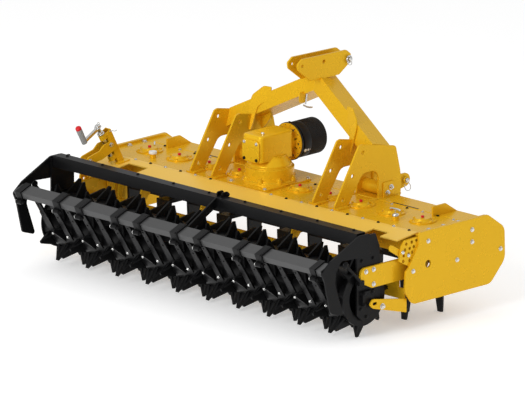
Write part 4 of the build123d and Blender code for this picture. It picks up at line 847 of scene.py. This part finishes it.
def build_scraper_bar():
    """Straps, knuckle bolts and nuts along the scraper bar, and a holder and bolts on each scraper.
    A strap is a superellipse round the bar, and a holder lies along its scraper's rear."""
    along = np.array([0, -cos(BAR_TILT), -sin(BAR_TILT)])
    below = np.array([0, sin(BAR_TILT), -cos(BAR_TILT)])
    places = HALF_WIDTH * STRAP_SHARES
    knuckle = bar_spot(KNUCKLE_ALONG, KNUCKLE_BELOW)
    heads = rows_on(places - KNUCKLE_HALF, [knuckle])
    nuts = rows_on(places + KNUCKLE_HALF, [knuckle])
    front = rows_on(places, [bar_spot(*FRONT_BOLT)])
    halves = BAR_WIDTH / 2 + STRAP_WIRE, BAR_DEPTH / 2 + STRAP_WIRE
    loop = in_plane(soft_square(*halves, power=9.0, count=44), along, below)
    middle = bar_spot(BAR_WIDTH / 2, BAR_DEPTH / 2)
    straps = [
        tube((x, *middle) + loop, STRAP_WIRE, columns=8, closed=True)
        for x in places[np.abs(places) < STRAP_REACH] + KNUCKLE_HALF + STRAP_OFFSET
    ]
    root = np.array(bar_spot(SCRAPER_ROOT, CARRIER_LOW))
    run = unit(SCRAPER_TIP - root)
    rear = np.array([run[1], -run[0]])
    rear_way = (0, *rear)
    scrapers = np.arange(1, 2 * ROTORS) * ROTOR_PITCH / 2 - HALF_WIDTH
    holder = root + HOLDER_STEP * run + HOLDER_CLEARANCE * rear
    outline = soft_square(*HOLDER_HALVES, power=8.0, count=24)
    holders = [
        slab(outline, (x, *holder), RIGHT, (0, *-run), -HOLDER_DEPTH, edge=-1.5)
        for x in scrapers + HOLDER_SHIFT
    ]
    holder_bolts = [holder + HOLDER_DEPTH * rear + step * run for step in HOLDER_BOLT_STEPS]
    upper = rows_on(scrapers + HOLDER_SHIFT, holder_bolts)
    tip_bolt = SCRAPER_TIP - TIP_BOLT_STEP * run + TIP_BOLT_CLEARANCE * rear
    lower = rows_on(scrapers + TIP_BOLT_SHIFT, [tip_bolt])
    grids = [
        *straps,
        *holders,
        turned(STUD, nuts, RIGHT, size=9),
        turned(BOLT, upper, rear_way, size=5, columns=FEW),
    ]
    make_piece("bar_straps", grids, BLACK, "roller_frame")
    grids = [
        turned(BOLT, heads, LEFT, size=10),
        turned(BUTTON, front, -along, size=7, columns=FEW),
        turned(BOLT, lower, rear_way, size=6.5, columns=FEW),
    ]
    make_piece("bar_bolts", grids, ZINC, "roller_frame")


def build_beam_clamp():
    """Clamp over the roller beam at the middle strut: two ears with a rounded outline and a nut on
    each side. A row of bolts runs along the beam's top."""
    ahead, up = CLAMP_PLACE
    near, far = CLAMP_EARS
    outline = round_bar(CLAMP_LENGTH, CLAMP_RADIUS)
    ears = [slab(outline, (x, ahead, up), BACK, UP, CLAMP_DEPTH, edge=1.5) for x in CLAMP_EARS]
    nuts = [(far + CLAMP_DEPTH, ahead + CLAMP_BOLT, up), (near, ahead - CLAMP_BOLT, up)]
    row = rows_on(np.linspace(-BEAM_ROW_REACH, BEAM_ROW_REACH, BEAM_ROW_BOLTS), [BEAM_ROW])
    grids = [
        *ears,
        turned(STUD, nuts, [RIGHT, LEFT], size=8),
        turned(BOLT, row, UP, size=7),
    ]
    make_piece("beam_clamp", grids, BLACK, "roller_frame")


def build_welds():
    """Weld beads along the headstock plates' feet: a thin bar whose radius ripples by a sine of the
    way run. A plain ring runs round the gearbox base."""
    share = np.linspace(0.0, 1.0, 120)
    radius = WELD_RADIUS + WELD_RIPPLE * np.abs(np.sin(share * WELD_RIPPLES * pi))
    start, run = (WELD_START, DECK_TOP + 1), share[:, None] * (0, WELD_LENGTH, 0)
    beads = [
        tube((side * face, *start) + run, radius, columns=6)
        for side in SIDES
        for face in HEADSTOCK_FACES
    ]
    base = hoop((GEARBOX_X, 0, BASE_WELD_UP), UP, BASE_WELD_RADIUS, WELD_RADIUS, count=96)
    make_piece("weld_beads", [*beads, base], YELLOW)


def build_tabs():
    """Bolts on the levelling bar's tabs."""
    tabs = rows_on(both(TAB_FACE), [TAB_BOLT])
    make_piece("tab_bolts", [turned(STUD, tabs, outward(tabs), size=12)], ZINC, "levelling")


def build_camera():
    """Camera on a long lens that keeps the photograph's width at the view centre."""
    data = bpy.data.cameras.new("camera")
    data.sensor_width = SENSOR_WIDTH
    data.lens = SENSOR_WIDTH * VIEW_DISTANCE / VIEW_WIDTH
    data.clip_start = 1.0
    data.clip_end = 3 * VIEW_DISTANCE
    camera = bpy.data.objects.new("camera", data)
    flat = cos(ELEVATION)
    away = Vector((sin(AZIMUTH) * flat, -cos(AZIMUTH) * flat, sin(ELEVATION)))
    camera.location = VIEW_CENTRE + VIEW_DISTANCE * away
    camera.rotation_euler = (-away).to_track_quat("-Z", "Y").to_euler()
    bpy.context.scene.collection.objects.link(camera)
    bpy.context.scene.camera = camera


def area_light(name, place, size, power):
    """Soft square light at a place, turned to the lights' aim."""
    data = bpy.data.lights.new(name, "AREA")
    data.size, data.energy = size, power
    lamp = bpy.data.objects.new(name, data)
    lamp.location = place
    lamp.rotation_euler = (Vector(LIGHT_AIM) - lamp.location).to_track_quat("-Z", "Y").to_euler()
    bpy.context.scene.collection.objects.link(lamp)


def build_stage():
    """Pale floor with a faint glow, a sky that brightens upwards, and two soft lights."""
    corners = [(x * FLOOR_HALF, y * FLOOR_HALF, 0) for x, y in ((-1, -1), (1, -1), (1, 1), (-1, 1))]
    mesh = bpy.data.meshes.new("floor")
    mesh.from_pydata(corners, [], [(0, 1, 2, 3)])
    floor = bpy.data.objects.new("floor", mesh)
    material, shader, place = new_material("pale_floor")
    feed(
        shader,
        place,
        Base_Color=(FLOOR_GREY, FLOOR_GREY, FLOOR_GREY, 1.0),
        Roughness=0.85,
        Specular_IOR_Level=0.1,
        Emission_Color=(1.0, 1.0, 1.0, 1.0),
        Emission_Strength=FLOOR_GLOW,
    )
    mesh.materials.append(material)
    bpy.context.scene.collection.objects.link(floor)
    world = bpy.data.worlds.new("studio")
    world.use_nodes = True
    coords = world.node_tree.nodes.new("ShaderNodeTexCoord")
    sky = Socket(world.node_tree, coords.outputs["Generated"])
    height = sky.node("ShaderNodeSeparateXYZ", 2, Vector=sky)
    stops = [(share, (grey, grey, grey)) for share, grey in SKY_GREYS]
    background = world.node_tree.nodes["Background"]
    sky.put(height.node("ShaderNodeValToRGB", stops=stops, Fac=height), background.inputs["Color"])
    background.inputs["Strength"].default_value = 1.0
    bpy.context.scene.world = world
    for name, (spot, size, power) in LIGHTS.items():
        area_light(name, spot, size, power)
    # The plain transform keeps the enamel's strong yellow.
    bpy.context.scene.view_settings.view_transform = "Standard"


build_camera()
build_stage()
dress_nodes()
build_side_fastenings()
build_deck_fastenings()
build_deck_fittings()
build_gearbox()
build_guard()
build_input_shaft()
build_linkage()
build_mast_hook()
build_mast_collars()
build_crank()
build_roller_frame()
build_scraper_bar()
build_beam_clamp()
build_welds()
build_tabs()
